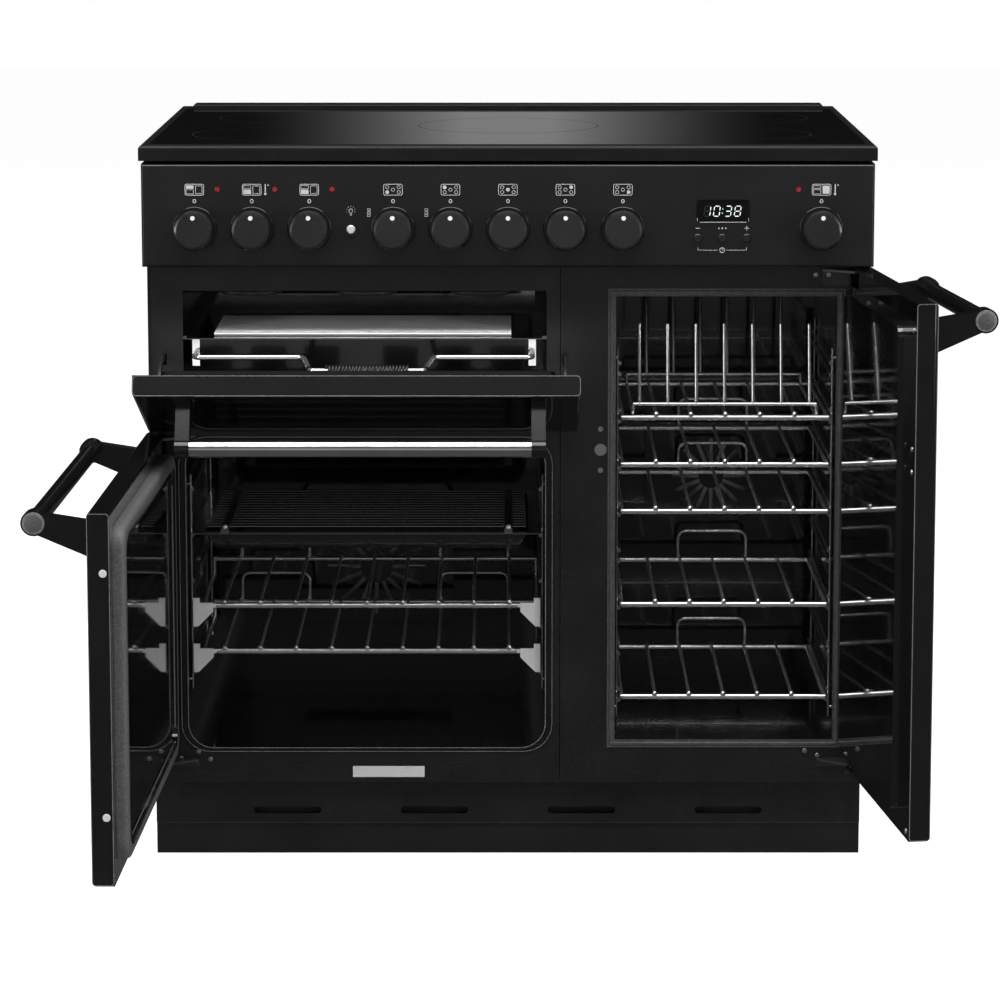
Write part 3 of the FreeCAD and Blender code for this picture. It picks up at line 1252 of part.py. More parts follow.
def side_hinge(hinge, door, inward, upper):
    """Bracket on the front frame that carries one pin of a side-hung door."""
    x, depth = hinge
    thick = BRACKET_THICK
    base = arm_height(door, upper)
    if not upper:
        plate_z = (base - PLATE_SHORT, base + thick)
    elif base + PLATE_LONG < PANEL_BOTTOM:
        plate_z = (base, base + PLATE_LONG)
    else:
        plate_z = (base - PLATE_MID, base + thick)
    near, far = x + inward * BRACKET_NEAR, x + inward * BRACKET_REACH
    outline = [(x - inward * 5, depth - 6), (x + inward * 5, depth - 7), (far, FRAME_FACE - 6),
               (far, FRAME_FACE), (near, FRAME_FACE), (x - inward * 3, depth + 6)]
    arm = flat_plate(outline, (base, base + thick))
    plate = box(sorted((near, far)), (FRAME_FACE - BRACKET_SHEET, FRAME_FACE), plate_z)
    pin_z = (base, door[3]) if upper else (door[2], base + thick)
    pin = Part.makeCylinder(PIN_RADIUS, pin_z[1] - pin_z[0], Vector(x, at(depth), pin_z[0]))
    return fuse([arm, plate, pin])


def grill_ear(x, outward):
    """Ear on the front frame with the pin that the grill door turns on."""
    depth, z = GRILL_PIVOT
    turn = math.radians(EAR_SLOPE)
    across = Vector(0, math.sin(turn), -math.cos(turn)) * (EAR_ARM / 2)
    rise = (FRAME_FACE - depth) * math.tan(turn)
    reach = EAR_ARM / 2 / math.cos(turn)
    start = [(depth - across.y, z - across.z), (depth + across.y, z + across.z)]
    outline = [start[0], (FRAME_FACE, z + rise + reach), (FRAME_FACE, z + rise - reach), start[1]]
    arm = profile(outline, (x, x + EAR_THICK))
    eye = bar((x, depth, z), (x + EAR_THICK, depth, z), EAR_ARM / 2)
    edge = GRILL_DOOR[0] + JOINT if outward < 0 else GRILL_DOOR[1] - JOINT
    start_x = x + EAR_THICK if outward < 0 else x
    pin = bar((start_x, depth, z), (edge, depth, z), EAR_PIN)
    return fuse([arm, eye, pin])


def hinge_brackets():
    pieces = []
    for hinge, door, inward in ((MAIN_HINGE, MAIN_DOOR, 1), (TALL_HINGE, TALL_DOOR, -1)):
        for upper in (False, True):
            pieces.append(side_hinge(hinge, door, inward, upper))
    pieces.append(grill_ear(EAR_X[0], -1))
    pieces.append(grill_ear(EAR_X[1], 1))
    return group(pieces)


# ---------------------------------------------------------------- fittings on the frame
def frame_fittings():
    pieces = []
    for x, z, radius in (CATCH, SMALL_CATCH):
        base = disc(x, z, radius, (FRAME_FACE - CATCH_BASE, FRAME_FACE))
        nose = disc(x, z, radius * 0.6, (FRAME_FACE - CATCH_NOSE, FRAME_FACE))
        pieces.append(fuse([base, nose]))
    for x, z in FRAME_SCREWS:
        pieces.append(disc(x, z, SCREW_RADIUS, (FRAME_FACE - SCREW_THICK, FRAME_FACE)))
    middle, half, low, high, sheet = BARE_PLATE
    pieces.append(box(grown((middle, middle), half), (FRAME_FACE - sheet, FRAME_FACE), (low, high)))
    return group(pieces)


def build():
    nodes = {
        "side_panels": side_panels(),
        "back_panel": back_panel(),
        "base_tray": base_tray(),
        "levelling_feet": levelling_feet(),
        "plinth": plinth(),
        "vent_plinth": vent_plinth(),
        "front_frame": front_frame(),
        "control_panel": control_panel(),
        "electrical_modules": electrical_modules(),
        "lenses": lenses(),
        "hob_frame": hob_frame(),
        "hob_glass": hob_glass(),
        "hob_elements": hob_elements(),
        "grill_cavity": grill_cavity(),
        "main_oven_cavity": main_oven_cavity(),
        "tall_oven_cavity": tall_oven_cavity(),
        "tall_oven_seal": tall_oven_seal(),
        "fan_covers": fan_covers(),
        "fan_motors": fan_motors(),
        "heating_elements": heating_elements(),
        "shelf_side_racks": shelf_side_racks(),
        "hinge_brackets": hinge_brackets(),
        "frame_fittings": frame_fittings(),
        "main_fan_impeller": impeller(MAIN_FAN, MAIN_OVEN[4]),
        "tall_fan_impeller": impeller(TALL_FAN, TALL_OVEN[4]),
        "main_door_skin": main_door_skin(),
        "main_door_liner": main_door_liner(),
        "main_door_handle": main_door_handle(),
        "grill_door_skin": grill_door_skin(),
        "grill_door_liner": grill_door_liner(),
        "grill_door_handle": grill_door_handle(),
        "grill_door_stays": grill_door_stays(),
        "tall_door_skin": tall_door_skin(),
        "tall_door_liner": tall_door_liner(),
        "tall_door_handle": tall_door_handle(),
        "main_shelf_lower": main_shelf(MAIN_SHELF_Z[0]),
        "main_shelf_upper": main_shelf(MAIN_SHELF_Z[1]),
        "roasting_tray": roasting_tray(),
        "plate_rack_shelf": plate_rack_shelf(),
        "grill_pan": grill_pan(),
        "grill_trivet": grill_trivet(),
        "grill_pan_handle": grill_pan_handle(),
        "light_button": push_button(LIGHT_X, LIGHT_Z, LIGHT_RADIUS, LIGHT_PROUD),
    }
    for number, x in enumerate(KNOB_X, 1):
        nodes[f"knob_{number}"] = knob(x)
    for number, x in enumerate(TIMER_X, 1):
        nodes[f"timer_button_{number}"] = push_button(x, TIMER_Z, TIMER_RADIUS, TIMER_PROUD)
    for number, level in enumerate(TALL_SHELF_LEVEL, 1):
        nodes[f"tall_shelf_{number}"] = tall_shelf(level)
    return nodes


def main():
    os.makedirs("parts", exist_ok=True)
    for name, shape in build().items():
        shape.exportStep(f"parts/{name}.step")


main()
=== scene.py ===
"""Looks for a range cooker with two ovens, a grill and a glass hob; its doors stand open."""
import json
import math

import bmesh
import bpy
from mathutils import Matrix, Vector


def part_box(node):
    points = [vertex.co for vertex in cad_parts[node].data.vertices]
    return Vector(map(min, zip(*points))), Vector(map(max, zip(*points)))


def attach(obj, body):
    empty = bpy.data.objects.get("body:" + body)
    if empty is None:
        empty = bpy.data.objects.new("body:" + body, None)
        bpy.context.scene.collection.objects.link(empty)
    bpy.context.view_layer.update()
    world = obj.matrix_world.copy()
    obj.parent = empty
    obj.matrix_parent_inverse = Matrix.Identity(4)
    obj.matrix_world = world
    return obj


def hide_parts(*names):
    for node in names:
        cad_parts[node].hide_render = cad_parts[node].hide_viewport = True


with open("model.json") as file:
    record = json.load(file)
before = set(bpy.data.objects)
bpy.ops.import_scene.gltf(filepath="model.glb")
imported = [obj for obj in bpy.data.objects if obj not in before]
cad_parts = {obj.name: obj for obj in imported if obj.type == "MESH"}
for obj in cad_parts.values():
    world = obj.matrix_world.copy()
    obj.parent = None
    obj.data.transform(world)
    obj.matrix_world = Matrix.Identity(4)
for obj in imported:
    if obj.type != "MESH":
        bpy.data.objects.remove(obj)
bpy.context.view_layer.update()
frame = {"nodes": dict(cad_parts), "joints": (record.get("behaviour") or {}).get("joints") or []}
NODES = frame["nodes"]
JOINTS = {joint["name"]: joint for joint in frame["joints"]}
MM = 0.001
BEZEL_HIGH = 4       # how far the bezels stand out of the panel's face, in millimetres
PANEL_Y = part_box("control_panel")[0].y + BEZEL_HIGH * MM


def box_of(node):
    """Corners of a node at rest, in millimetres."""
    low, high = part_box(node)
    return low / MM, high / MM



# ---------------------------------------------------------------- effects shared by the finishes


def effect(name, inputs, outputs):
    """Empty node group that takes a place and its own named values."""
    tree = bpy.data.node_groups.new(name, "ShaderNodeTree")
    for label, kind, value in [("Place", "Vector", (0, 0, 0)), *inputs]:
        socket = tree.interface.new_socket(label, in_out="INPUT", socket_type="NodeSocket" + kind)
        socket.default_value = value
    for label, kind in outputs:
        tree.interface.new_socket(label, in_out="OUTPUT", socket_type="NodeSocket" + kind)
    return tree, tree.nodes.new("NodeGroupInput").outputs, tree.nodes.new("NodeGroupOutput").inputs


def wire(tree, source, target):
    tree.links.new(source, target)


def maths(tree, operation, *values):
    node = tree.nodes.new("ShaderNodeMath")
    node.operation = operation
    for socket, value in zip(node.inputs, values):
        if isinstance(value, (int, float)):
            socket.default_value = value
        else:
            wire(tree, value, socket)
    return node.outputs[0]


def vectors(tree, operation, first, second, result=0):
    node = tree.nodes.new("ShaderNodeVectorMath")
    node.operation = operation
    for socket, value in zip(node.inputs, (first, second)):
        if isinstance(value, (tuple, list, Vector)):
            socket.default_value = value
        elif value is not None:
            wire(tree, value, socket)
    return node.outputs[result]


def cloud(tree, place, scale, detail):
    noise = tree.nodes.new("ShaderNodeTexNoise")
    noise.inputs["Detail"].default_value = detail
    wire(tree, place, noise.inputs["Vector"])
    wire(tree, scale, noise.inputs["Scale"])
    return noise.outputs["Fac"]


def spread(tree, value, low, high, out_low, out_high):
    """A value carried from one range to another, and held at its ends."""
    node = tree.nodes.new("ShaderNodeMapRange")
    for socket, given in zip(node.inputs, (value, low, high, out_low, out_high)):
        if isinstance(given, (int, float)):
            socket.default_value = given
        else:
            wire(tree, given, socket)
    return node.outputs[0]


def uneven_shine():
    """Roughness that drifts between two values."""
    tree, given, out = effect("uneven_shine", [("Scale", "Float", 20), ("Low", "Float", 0.1),
                                               ("High", "Float", 0.2)],
                              [("Roughness", "Float")])
    noise = cloud(tree, given["Place"], given["Scale"], 4.0)
    wire(tree, spread(tree, noise, 0.35, 0.68, given["Low"], given["High"]), out["Roughness"])
    return tree


def mottled_tone():
    """Colour that drifts between two tones."""
    tree, given, out = effect("mottled_tone", [("Scale", "Float", 12),
                                               ("Dark", "Color", (0, 0, 0, 1)),
                                               ("Light", "Color", (1, 1, 1, 1))],
                              [("Color", "Color")])
    mix = tree.nodes.new("ShaderNodeMix")
    mix.data_type = "RGBA"
    noise = cloud(tree, given["Place"], given["Scale"], 5.0)
    wire(tree, spread(tree, noise, 0.3, 0.7, 0.0, 1.0), mix.inputs["Factor"])
    wire(tree, given["Dark"], mix.inputs["A"])
    wire(tree, given["Light"], mix.inputs["B"])
    wire(tree, mix.outputs["Result"], out["Color"])
    return tree


def fired_surface():
    """Height of fired enamel or moulded plastic: long soft waves under a fine peel."""
    peel_share = 0.12
    tree, given, out = effect("fired_surface", [("Scale", "Float", 60), ("Fine", "Float", 700)],
                              [("Height", "Float")])
    waves = cloud(tree, given["Place"], given["Scale"], 2.0)
    peel = cloud(tree, given["Place"], given["Fine"], 1.0)
    wire(tree, maths(tree, "MULTIPLY_ADD", peel, peel_share, waves), out["Height"])
    return tree


def drawn_lines():
    """Height of the fine lines that rolling or drawing leaves along a metal piece."""
    tree, given, out = effect("drawn_lines", [("Stretch", "Vector", (1, 1, 1)),
                                              ("Scale", "Float", 400)], [("Height", "Float")])
    run = vectors(tree, "MULTIPLY", given["Place"], given["Stretch"])
    wire(tree, cloud(tree, run, given["Scale"], 2.0), out["Height"])
    return tree


def speckle():
    """Mask of small scattered flecks in a sprayed enamel."""
    tree, given, out = effect("speckle", [("Scale", "Float", 900), ("Size", "Float", 0.2),
                                          ("Share", "Float", 0.4)], [("Mask", "Float")])
    cells = tree.nodes.new("ShaderNodeTexVoronoi")
    wire(tree, given["Place"], cells.inputs["Vector"])
    wire(tree, given["Scale"], cells.inputs["Scale"])
    fleck = maths(tree, "LESS_THAN", cells.outputs["Distance"], given["Size"])
    apart = tree.nodes.new("ShaderNodeSeparateColor")
    wire(tree, cells.outputs["Color"], apart.inputs["Color"])
    kept = maths(tree, "LESS_THAN", apart.outputs[0], given["Share"])
    wire(tree, maths(tree, "MULTIPLY", fleck, kept), out["Mask"])
    return tree


def within_box():
    """Mask that is 1 between two corners."""
    tree, given, out = effect("within_box", [("Low", "Vector", (0, 0, 0)),
                                             ("High", "Vector", (0, 0, 0))], [("Mask", "Float")])
    value = None
    for first, second in (("Place", "Low"), ("High", "Place")):
        apart = tree.nodes.new("ShaderNodeSeparateXYZ")
        wire(tree, vectors(tree, "SUBTRACT", given[first], given[second]), apart.inputs[0])
        for side in apart.outputs:
            value = side if value is None else maths(tree, "MINIMUM", value, side)
    wire(tree, maths(tree, "GREATER_THAN", value, 0.0), out["Mask"])
    return tree


def within_rod():
    """Mask that is 1 nearer than a radius to a line."""
    tree, given, out = effect("within_rod", [("Middle", "Vector", (0, 0, 0)),
                                             ("Along", "Vector", (1, 0, 0)),
                                             ("Radius", "Float", 0.01)], [("Mask", "Float")])
    offset = vectors(tree, "SUBTRACT", given["Place"], given["Middle"])
    away = vectors(tree, "CROSS_PRODUCT", offset, given["Along"])
    distance = vectors(tree, "LENGTH", away, None, result=1)
    wire(tree, maths(tree, "LESS_THAN", distance, given["Radius"]), out["Mask"])
    return tree


EFFECTS = {make.__name__: make()
           for make in (uneven_shine, mottled_tone, fired_surface, drawn_lines, speckle,
                        within_box, within_rod)}


def place_effect(tree, name, place, output, **values):
    """One of the shared groups, with its values set, and the socket it puts out."""
    node = tree.nodes.new("ShaderNodeGroup")
    node.node_tree = EFFECTS[name]
    wire(tree, place, node.inputs["Place"])
    for label, value in values.items():
        node.inputs[label].default_value = value
    return node.outputs[output]


def colour(value):
    """Opaque colour from three shares or from one grey."""
    if isinstance(value, (int, float)):
        value = (value, value, value)
    return (*value, 1.0)


# ---------------------------------------------------------------- finishes


def finish(name, tone, shine, metallic=0.0, coat=0.0, coat_roughness=0.03, mottle=14.0,
           patch=25.0, peel=None, lines=None, depth=0.02, specular=0.5):
    """A material with its tone, shine and surface varied over the piece.

    tone is a dark and a light colour, and shine a low and a high roughness. mottle and patch are
    the scales of their drift. peel gives the scales of a fired surface, lines the stretch and
    scale of drawn lines, and depth the height of either in millimetres.
    """
    material = bpy.data.materials.new(name)
    material.use_nodes = True
    tree = material.node_tree
    shader = tree.nodes["Principled BSDF"]
    place = tree.nodes.new("ShaderNodeTexCoord").outputs["Object"]
    shader.inputs["Metallic"].default_value = metallic
    shader.inputs["Coat Weight"].default_value = coat
    shader.inputs["Coat Roughness"].default_value = coat_roughness
    shader.inputs["Specular IOR Level"].default_value = specular
    tone_out = place_effect(tree, "mottled_tone", place, "Color", Scale=mottle,
                            Dark=colour(tone[0]), Light=colour(tone[1]))
    wire(tree, tone_out, shader.inputs["Base Color"])
    rough = place_effect(tree, "uneven_shine", place, "Roughness", Scale=patch, Low=shine[0],
                         High=shine[1])
    wire(tree, rough, shader.inputs["Roughness"])
    if peel:
        height = place_effect(tree, "fired_surface", place, "Height", Scale=peel[0], Fine=peel[1])
    elif lines:
        height = place_effect(tree, "drawn_lines", place, "Height", Stretch=lines[0],
                              Scale=lines[1])
    else:
        return material
    bump = tree.nodes.new("ShaderNodeBump")
    bump.inputs["Strength"].default_value = 1.0
    bump.inputs["Distance"].default_value = depth * MM
    wire(tree, height, bump.inputs["Height"])
    wire(tree, bump.outputs["Normal"], shader.inputs["Normal"])
    return material


def blend_sockets(material, mask, tone=None, roughness=None, metallic=None):
    """Where a mask is 1, the material takes another tone, roughness or metal."""
    tree = material.node_tree
    shader = tree.nodes["Principled BSDF"]
    for label, value in (("Base Color", tone), ("Roughness", roughness), ("Metallic", metallic)):
        if value is None:
            continue
        socket = shader.inputs[label]
        mix = tree.nodes.new("ShaderNodeMix")
        coloured = "Color" in label
        mix.data_type = "RGBA" if coloured else "FLOAT"
        wire(tree, mask, mix.inputs["Factor"])
        ends = [s for s in mix.inputs if s.name in ("A", "B") and s.enabled]
        if socket.is_linked:
            wire(tree, socket.links[0].from_socket, ends[0])
        else:
            ends[0].default_value = socket.default_value
        ends[1].default_value = colour(value) if coloured else value
        out = [s for s in mix.outputs if s.enabled][0]
        wire(tree, out, socket)


def mask_for(material, name, **values):
    """Mask from one of the shared groups, in a finish that already has its place."""
    tree = material.node_tree
    place = [n for n in tree.nodes if n.bl_idname == "ShaderNodeTexCoord"][0].outputs["Object"]
    return place_effect(tree, name, place, "Mask", **values)


def in_box(material, low, high):
    """Mask of a box given in millimetres of the scene."""
    return mask_for(material, "within_box", Low=Vector(low) * MM, High=Vector(high) * MM)


def variant(material, name):
    """Copy of a finish, for a node that looks different in some part of it."""
    made = material.copy()
    made.name = name
    return made


FAR = 2000.0         # beyond the cooker on any side, in millimetres
EVEN = (1, 1, 1)     # drawn lines that run no one way

black_enamel = finish("black_enamel", (0.0042, 0.0062), (0.10, 0.16), coat=0.6, peel=(90, 900),
                      depth=0.012)
body_black = finish("body_black", (0.006, 0.009), (0.38, 0.46), peel=(300, 1600), depth=0.01)
panel_black = finish("panel_black", (0.0045, 0.0068), (0.30, 0.37), peel=(240, 1900), depth=0.008)
frame_enamel = finish("frame_enamel", (0.006, 0.0095), (0.30, 0.40), peel=(350, 1500), depth=0.03)
oven_enamel = finish("oven_enamel", (0.0038, 0.0065), (0.09, 0.17), coat=0.4, peel=(70, 500),
                     depth=0.01)
liner_enamel = finish("liner_enamel", (0.0035, 0.0055), (0.045, 0.085), coat=0.8, peel=(45, 420),
                      depth=0.005)
pan_enamel = finish("pan_enamel", (0.0042, 0.0075), (0.12, 0.2), coat=0.5, peel=(110, 800))
glass_black = finish("glass_black", (0.0028, 0.0036), (0.035, 0.05), patch=4.0)
chrome = finish("chrome", (0.74, 0.85), (0.12, 0.2), metallic=0.92, lines=(EVEN, 900),
                depth=0.006)
trivet_chrome = finish("trivet_chrome", (0.84, 0.92), (0.34, 0.42), metallic=0.6,
                       lines=(EVEN, 900), depth=0.004)
rack_chrome = finish("rack_chrome", (0.42, 0.58), (0.16, 0.24), metallic=1.0, lines=(EVEN, 900),
                     depth=0.006)
rail_chrome = finish("rail_chrome", (0.66, 0.78), (0.16, 0.2), metallic=1.0,
                     lines=((0.05, 1, 1), 1500), depth=0.01)
knob_black = finish("knob_black", (0.0085, 0.0115), (0.24, 0.31), coat=0.5, coat_roughness=0.08,
                    peel=(300, 2500), depth=0.004)
trim_black = finish("trim_black", (0.0035, 0.0055), (0.42, 0.52), peel=(240, 1900), depth=0.008,
                    specular=0.22)
button_dark = finish("button_dark", (0.008, 0.012), (0.3, 0.4), peel=(500, 2500), depth=0.006)
lamp_red = finish("lamp_red", ((0.16, 0.006, 0.016), (0.3, 0.014, 0.034)), (0.12, 0.2), coat=0.5,
                  mottle=500, peel=(900, 3000))
zinc = finish("zinc", (0.42, 0.58), (0.3, 0.44), metallic=1.0, mottle=120, patch=60,
              lines=((1, 1, 0.08), 700), depth=0.012)
pale_metal = finish("pale_metal", (0.6, 0.75), (0.3, 0.4), metallic=0.25, peel=(500, 2500),
                    depth=0.006)
dark_zinc = finish("dark_zinc", (0.03, 0.055), (0.28, 0.4), metallic=0.6,
                   lines=((1, 1, 0.2), 900), depth=0.01)
# Pale tone of the thin strips that are painted highlights along edges and lips.
painted_edge_highlight = finish("painted_edge_highlight", (0.07, 0.19), (0.25, 0.4), mottle=420, peel=(500, 2500),
                    depth=0.01)
satin_steel = finish("satin_steel", (0.5, 0.6), (0.3, 0.4), metallic=1.0,
                     lines=((1, 1, 0.2), 900), depth=0.01)
element_grey = finish("element_grey", (0.045, 0.085), (0.42, 0.6), metallic=0.7, mottle=60,
                      peel=(500, 2500))
zone_pad = finish("zone_pad", (0.05, 0.08), (0.6, 0.75), peel=(200, 900), depth=0.05)
module_cream = finish("module_cream", (0.42, 0.5), (0.4, 0.5), peel=(300, 1800))
seal_grey = finish("seal_grey", (0.038, 0.07), (0.34, 0.5), mottle=220, peel=(700, 2400),
                   depth=0.06)
gasket_grey = finish("gasket_grey", (0.05, 0.11), (0.55, 0.7), mottle=500, peel=(900, 2600),
                     depth=0.1)
ink_white = finish("ink_white", (0.4, 0.5), (0.45, 0.6), peel=(1500, 5000), depth=0.004)

# Coarse and fine flecks in the frame's enamel: their scale, share and tone.
for size, share, tone in ((900.0, 0.3, 0.032), (420.0, 0.14, 0.022)):
    flecks = mask_for(frame_enamel, "speckle", Scale=size, Size=0.3, Share=share)
    blend_sockets(frame_enamel, flecks, tone=tone, roughness=0.2)

# The bezels are glossier than the panel, and so is the collar of the light button.
COLLAR_AT, COLLAR_RADIUS = (-191.4, -304, 802.6), 9.4
panel_face = variant(panel_black, "panel_and_bezels")
bezels = in_box(panel_face, (-FAR, -FAR, 0), (FAR, PANEL_Y / MM - 0.02, FAR))
blend_sockets(panel_face, bezels, tone=0.005, roughness=0.16)
collar = mask_for(panel_face, "within_rod", Middle=Vector(COLLAR_AT) * MM, Along=(0, 1, 0),
                  Radius=COLLAR_RADIUS * MM)
blend_sockets(panel_face, collar, tone=0.005, roughness=0.1)

# The lenses are red lamps, apart from the clock's dark window.
WINDOW_X = (200, 320)
lens_red = variant(lamp_red, "lamps_and_window")
window = in_box(lens_red, (WINDOW_X[0], -FAR, 0), (WINDOW_X[1], FAR, FAR))
blend_sockets(lens_red, window, tone=0.003, roughness=0.06)

# Pale pressed brackets at the front ends of the main oven's shelves.
BRACKET_WIDE, BRACKET_DEEP = 29, 4
shelf_chrome = variant(chrome, "shelf_chrome")
shelf_low, shelf_high = box_of("main_shelf_upper")
bracket_back = shelf_low.y + BRACKET_DEEP
for low_x, high_x in ((-FAR, shelf_low.x + BRACKET_WIDE), (shelf_high.x - BRACKET_WIDE, FAR)):
    bracket = in_box(shelf_chrome, (low_x, -FAR, 0), (high_x, bracket_back, FAR))
    blend_sockets(shelf_chrome, bracket, tone=0.62, roughness=0.34, metallic=0.3)

# Black arms at both ends of the grill door's bright rail.
ARM_WIDE = 17
drop_rail = variant(rail_chrome, "rail_and_arms")
rail_low, rail_high = box_of("grill_door_handle")
for low_x, high_x in ((-FAR, rail_low.x + ARM_WIDE), (rail_high.x - ARM_WIDE, FAR)):
    arm = in_box(drop_rail, (low_x, -FAR, 0), (high_x, FAR, FAR))
    blend_sockets(drop_rail, arm, tone=0.0055, roughness=0.17, metallic=0.0)

# Wire rack over the enamelled roasting tray.
RACK_HIGH = 6.8
tray_and_rack = variant(pan_enamel, "tray_and_rack")
rack_z = box_of("roasting_tray")[1].z - RACK_HIGH
rack = in_box(tray_and_rack, (-FAR, -FAR, rack_z), (FAR, FAR, FAR))
blend_sockets(tray_and_rack, rack, tone=0.3, roughness=0.25, metallic=1.0)

# Black coil round the middle of the grill pan's wire handle.
GRIP_X, GRIP_BACK, GRIP_Z = -170.5, 6.95, 637.0
COIL_RADIUS, CORE_RADIUS = 9.5, 3.5
wire_and_grip = variant(chrome, "wire_and_grip")
grip_line = Vector((GRIP_X, box_of("grill_pan_handle")[0].y + GRIP_BACK, GRIP_Z)) * MM
coil, core = (mask_for(wire_and_grip, "within_rod", Middle=grip_line, Along=(1, 0, 0),
                       Radius=radius * MM) for radius in (COIL_RADIUS, CORE_RADIUS))
sleeve = maths(wire_and_grip.node_tree, "SUBTRACT", coil, core)
blend_sockets(wire_and_grip, sleeve, tone=0.008, roughness=0.35, metallic=0.0)

# Among the fittings, the bare plate is pale and the catch stays bright, and the rest is dark.
PLATE_X, PLATE_Z, CATCH_X = (-210, -90), (90, 125), (85, 130)
fitting_metal = variant(satin_steel, "fittings")
bare_plate = in_box(fitting_metal, (PLATE_X[0], -FAR, PLATE_Z[0]), (PLATE_X[1], FAR, PLATE_Z[1]))
blend_sockets(fitting_metal, bare_plate, tone=0.5, roughness=0.5, metallic=0.0)
for low_corner, high_corner in (((-FAR, -FAR, PLATE_Z[1]), (CATCH_X[0], FAR, FAR)),
                                ((CATCH_X[1], -FAR, 0), (FAR, FAR, FAR))):
    beside = in_box(fitting_metal, low_corner, high_corner)
    blend_sockets(fitting_metal, beside, tone=0.02, metallic=0.2)

FINISHES = {
    trim_black: ["hob_frame"],
    black_enamel: ["main_door_skin", "tall_door_skin", "grill_door_skin",
                   "main_door_handle", "tall_door_handle"],
    body_black: ["side_panels", "plinth"],
    frame_enamel: ["front_frame", "vent_plinth"],
    panel_face: ["control_panel"],
    oven_enamel: ["main_oven_cavity", "tall_oven_cavity", "grill_cavity", "fan_covers"],
    liner_enamel: ["main_door_liner", "tall_door_liner", "grill_door_liner"],
    pan_enamel: ["grill_pan"],
    tray_and_rack: ["roasting_tray"],
    glass_black: ["hob_glass"],
    shelf_chrome: ["main_shelf_lower", "main_shelf_upper"],
    chrome: ["plate_rack_shelf", "tall_shelf_1", "tall_shelf_2", "tall_shelf_3", "tall_shelf_4"],
    trivet_chrome: ["grill_trivet"],
    rack_chrome: ["shelf_side_racks"],
    drop_rail: ["grill_door_handle"],
    wire_and_grip: ["grill_pan_handle"],
    knob_black: [f"knob_{i}" for i in range(1, 10)],
    button_dark: ["timer_button_1", "timer_button_2", "timer_button_3"],
    pale_metal: ["light_button"],
    dark_zinc: ["hinge_brackets", "grill_door_stays"],
    lens_red: ["lenses"],
    zinc: ["back_panel", "base_tray", "levelling_feet", "fan_motors", "main_fan_impeller",
           "tall_fan_impeller"],
    fitting_metal: ["frame_fittings"],
    element_grey: ["heating_elements"],
    zone_pad: ["hob_elements"],
    module_cream: ["electrical_modules"],
    seal_grey: ["tall_oven_seal"],
}
for material, names in FINISHES.items():
    for name in names:
        slots = NODES[name].material_slots
        if not slots:
            NODES[name].data.materials.append(material)
        for slot in slots:
            slot.material = material

# ---------------------------------------------------------------- pieces


def piece(name, shape, material, body):
    """Finished mesh from a bmesh in metres, riding on its body."""
    mesh = bpy.data.meshes.new(name)
    shape.to_mesh(mesh)
    shape.free()
    mesh.materials.append(material)
    made = bpy.data.objects.new(name, mesh)
    bpy.context.scene.collection.objects.link(made)
    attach(made, body)
    return made


# What is drawn flat, with its thickness upwards, is stood up to face one of these ways.
FACING = {"front": ((1, 0, 0), (0, 0, 1), (0, -1, 0)),
          "back": ((-1, 0, 0), (0, 0, 1), (0, 1, 0)),
          "left": ((0, -1, 0), (0, 0, 1), (-1, 0, 0)),
          "right": ((0, 1, 0), (0, 0, 1), (1, 0, 0)),
          "up": ((1, 0, 0), (0, 1, 0), (0, 0, 1))}


def stand(shape, facing, at, verts=None):
    """Turns drawn vertices to face a way, and moves them to a place in millimetres."""
    across, up, out = (Vector(axis) for axis in FACING[facing])
    turn = Matrix((across, up, out)).transposed()
    verts = list(shape.verts) if verts is None else verts
    bmesh.ops.rotate(shape, verts=verts, matrix=turn)
    bmesh.ops.translate(shape, verts=verts, vec=at)


def swing_open(shape, joint):
    """Carries what was drawn on a closed door, in millimetres, to where the door stands."""
    hinge = JOINTS[joint]
    turn = Matrix.Rotation(math.radians(-hinge["range_deg"][0]), 3, Vector(hinge["axis"]))
    bmesh.ops.rotate(shape, verts=shape.verts, cent=Vector(hinge["pos_m"]) / MM, matrix=turn)


def to_metres(shape):
    bmesh.ops.scale(shape, vec=(MM, MM, MM), verts=shape.verts)


def smooth(shape, angle=35):
    """Soft shading on gentle edges and crisp shading on sharp ones."""
    for face in shape.faces:
        face.smooth = True
    for edge in shape.edges:
        edge.smooth = edge.calc_face_angle(0) < math.radians(angle)


def added(shape, before):
    """What a shape has gained since its vertices were noted."""
    return ([v for v in shape.verts if v not in before],
            [f for f in shape.faces if not set(f.verts) & before])


def plate(shape, width, height, corner, thick, at, stroke=None, segments=3):
    """Adds a flat rounded plate, or with a stroke its outline alone, drawn in millimetres."""
    before = set(shape.verts)
    bmesh.ops.create_grid(shape, x_segments=1, y_segments=1, size=0.5)
    own = added(shape, before)[0]
    bmesh.ops.scale(shape, vec=(width, height, 1), verts=own)
    if corner:
        bmesh.ops.bevel(shape, geom=own, offset=corner, affect="VERTICES", segments=segments,
                        profile=0.5, material=-1)
    faces = added(shape, before)[1]
    if stroke:
        bmesh.ops.inset_region(shape, faces=faces, thickness=stroke, use_even_offset=True,
                               use_boundary=True)
        bmesh.ops.delete(shape, geom=faces, context="FACES")
        faces = added(shape, before)[1]
    raised = bmesh.ops.extrude_face_region(shape, geom=faces)["geom"]
    lifted = [v for v in raised if isinstance(v, bmesh.types.BMVert)]
    bmesh.ops.translate(shape, vec=(0, 0, thick), verts=lifted)
    bmesh.ops.translate(shape, vec=(at[0], at[1], 0), verts=added(shape, before)[0])


def ink(name, drawings, body, depth, material=ink_white, thick=0.15):
    """Print on an upright front face.

    Each drawing is a plate or an outline: X, Z, width, height, corner and stroke.
    """
    shape = bmesh.new()
    for x, z, width, height, corner, stroke in drawings:
        plate(shape, width, height, corner, thick, (x, z), stroke)
    bmesh.ops.recalc_face_normals(shape, faces=shape.faces)
    stand(shape, "front", (0, depth / MM, 0))
    to_metres(shape)
    return piece(name, shape, material, body)


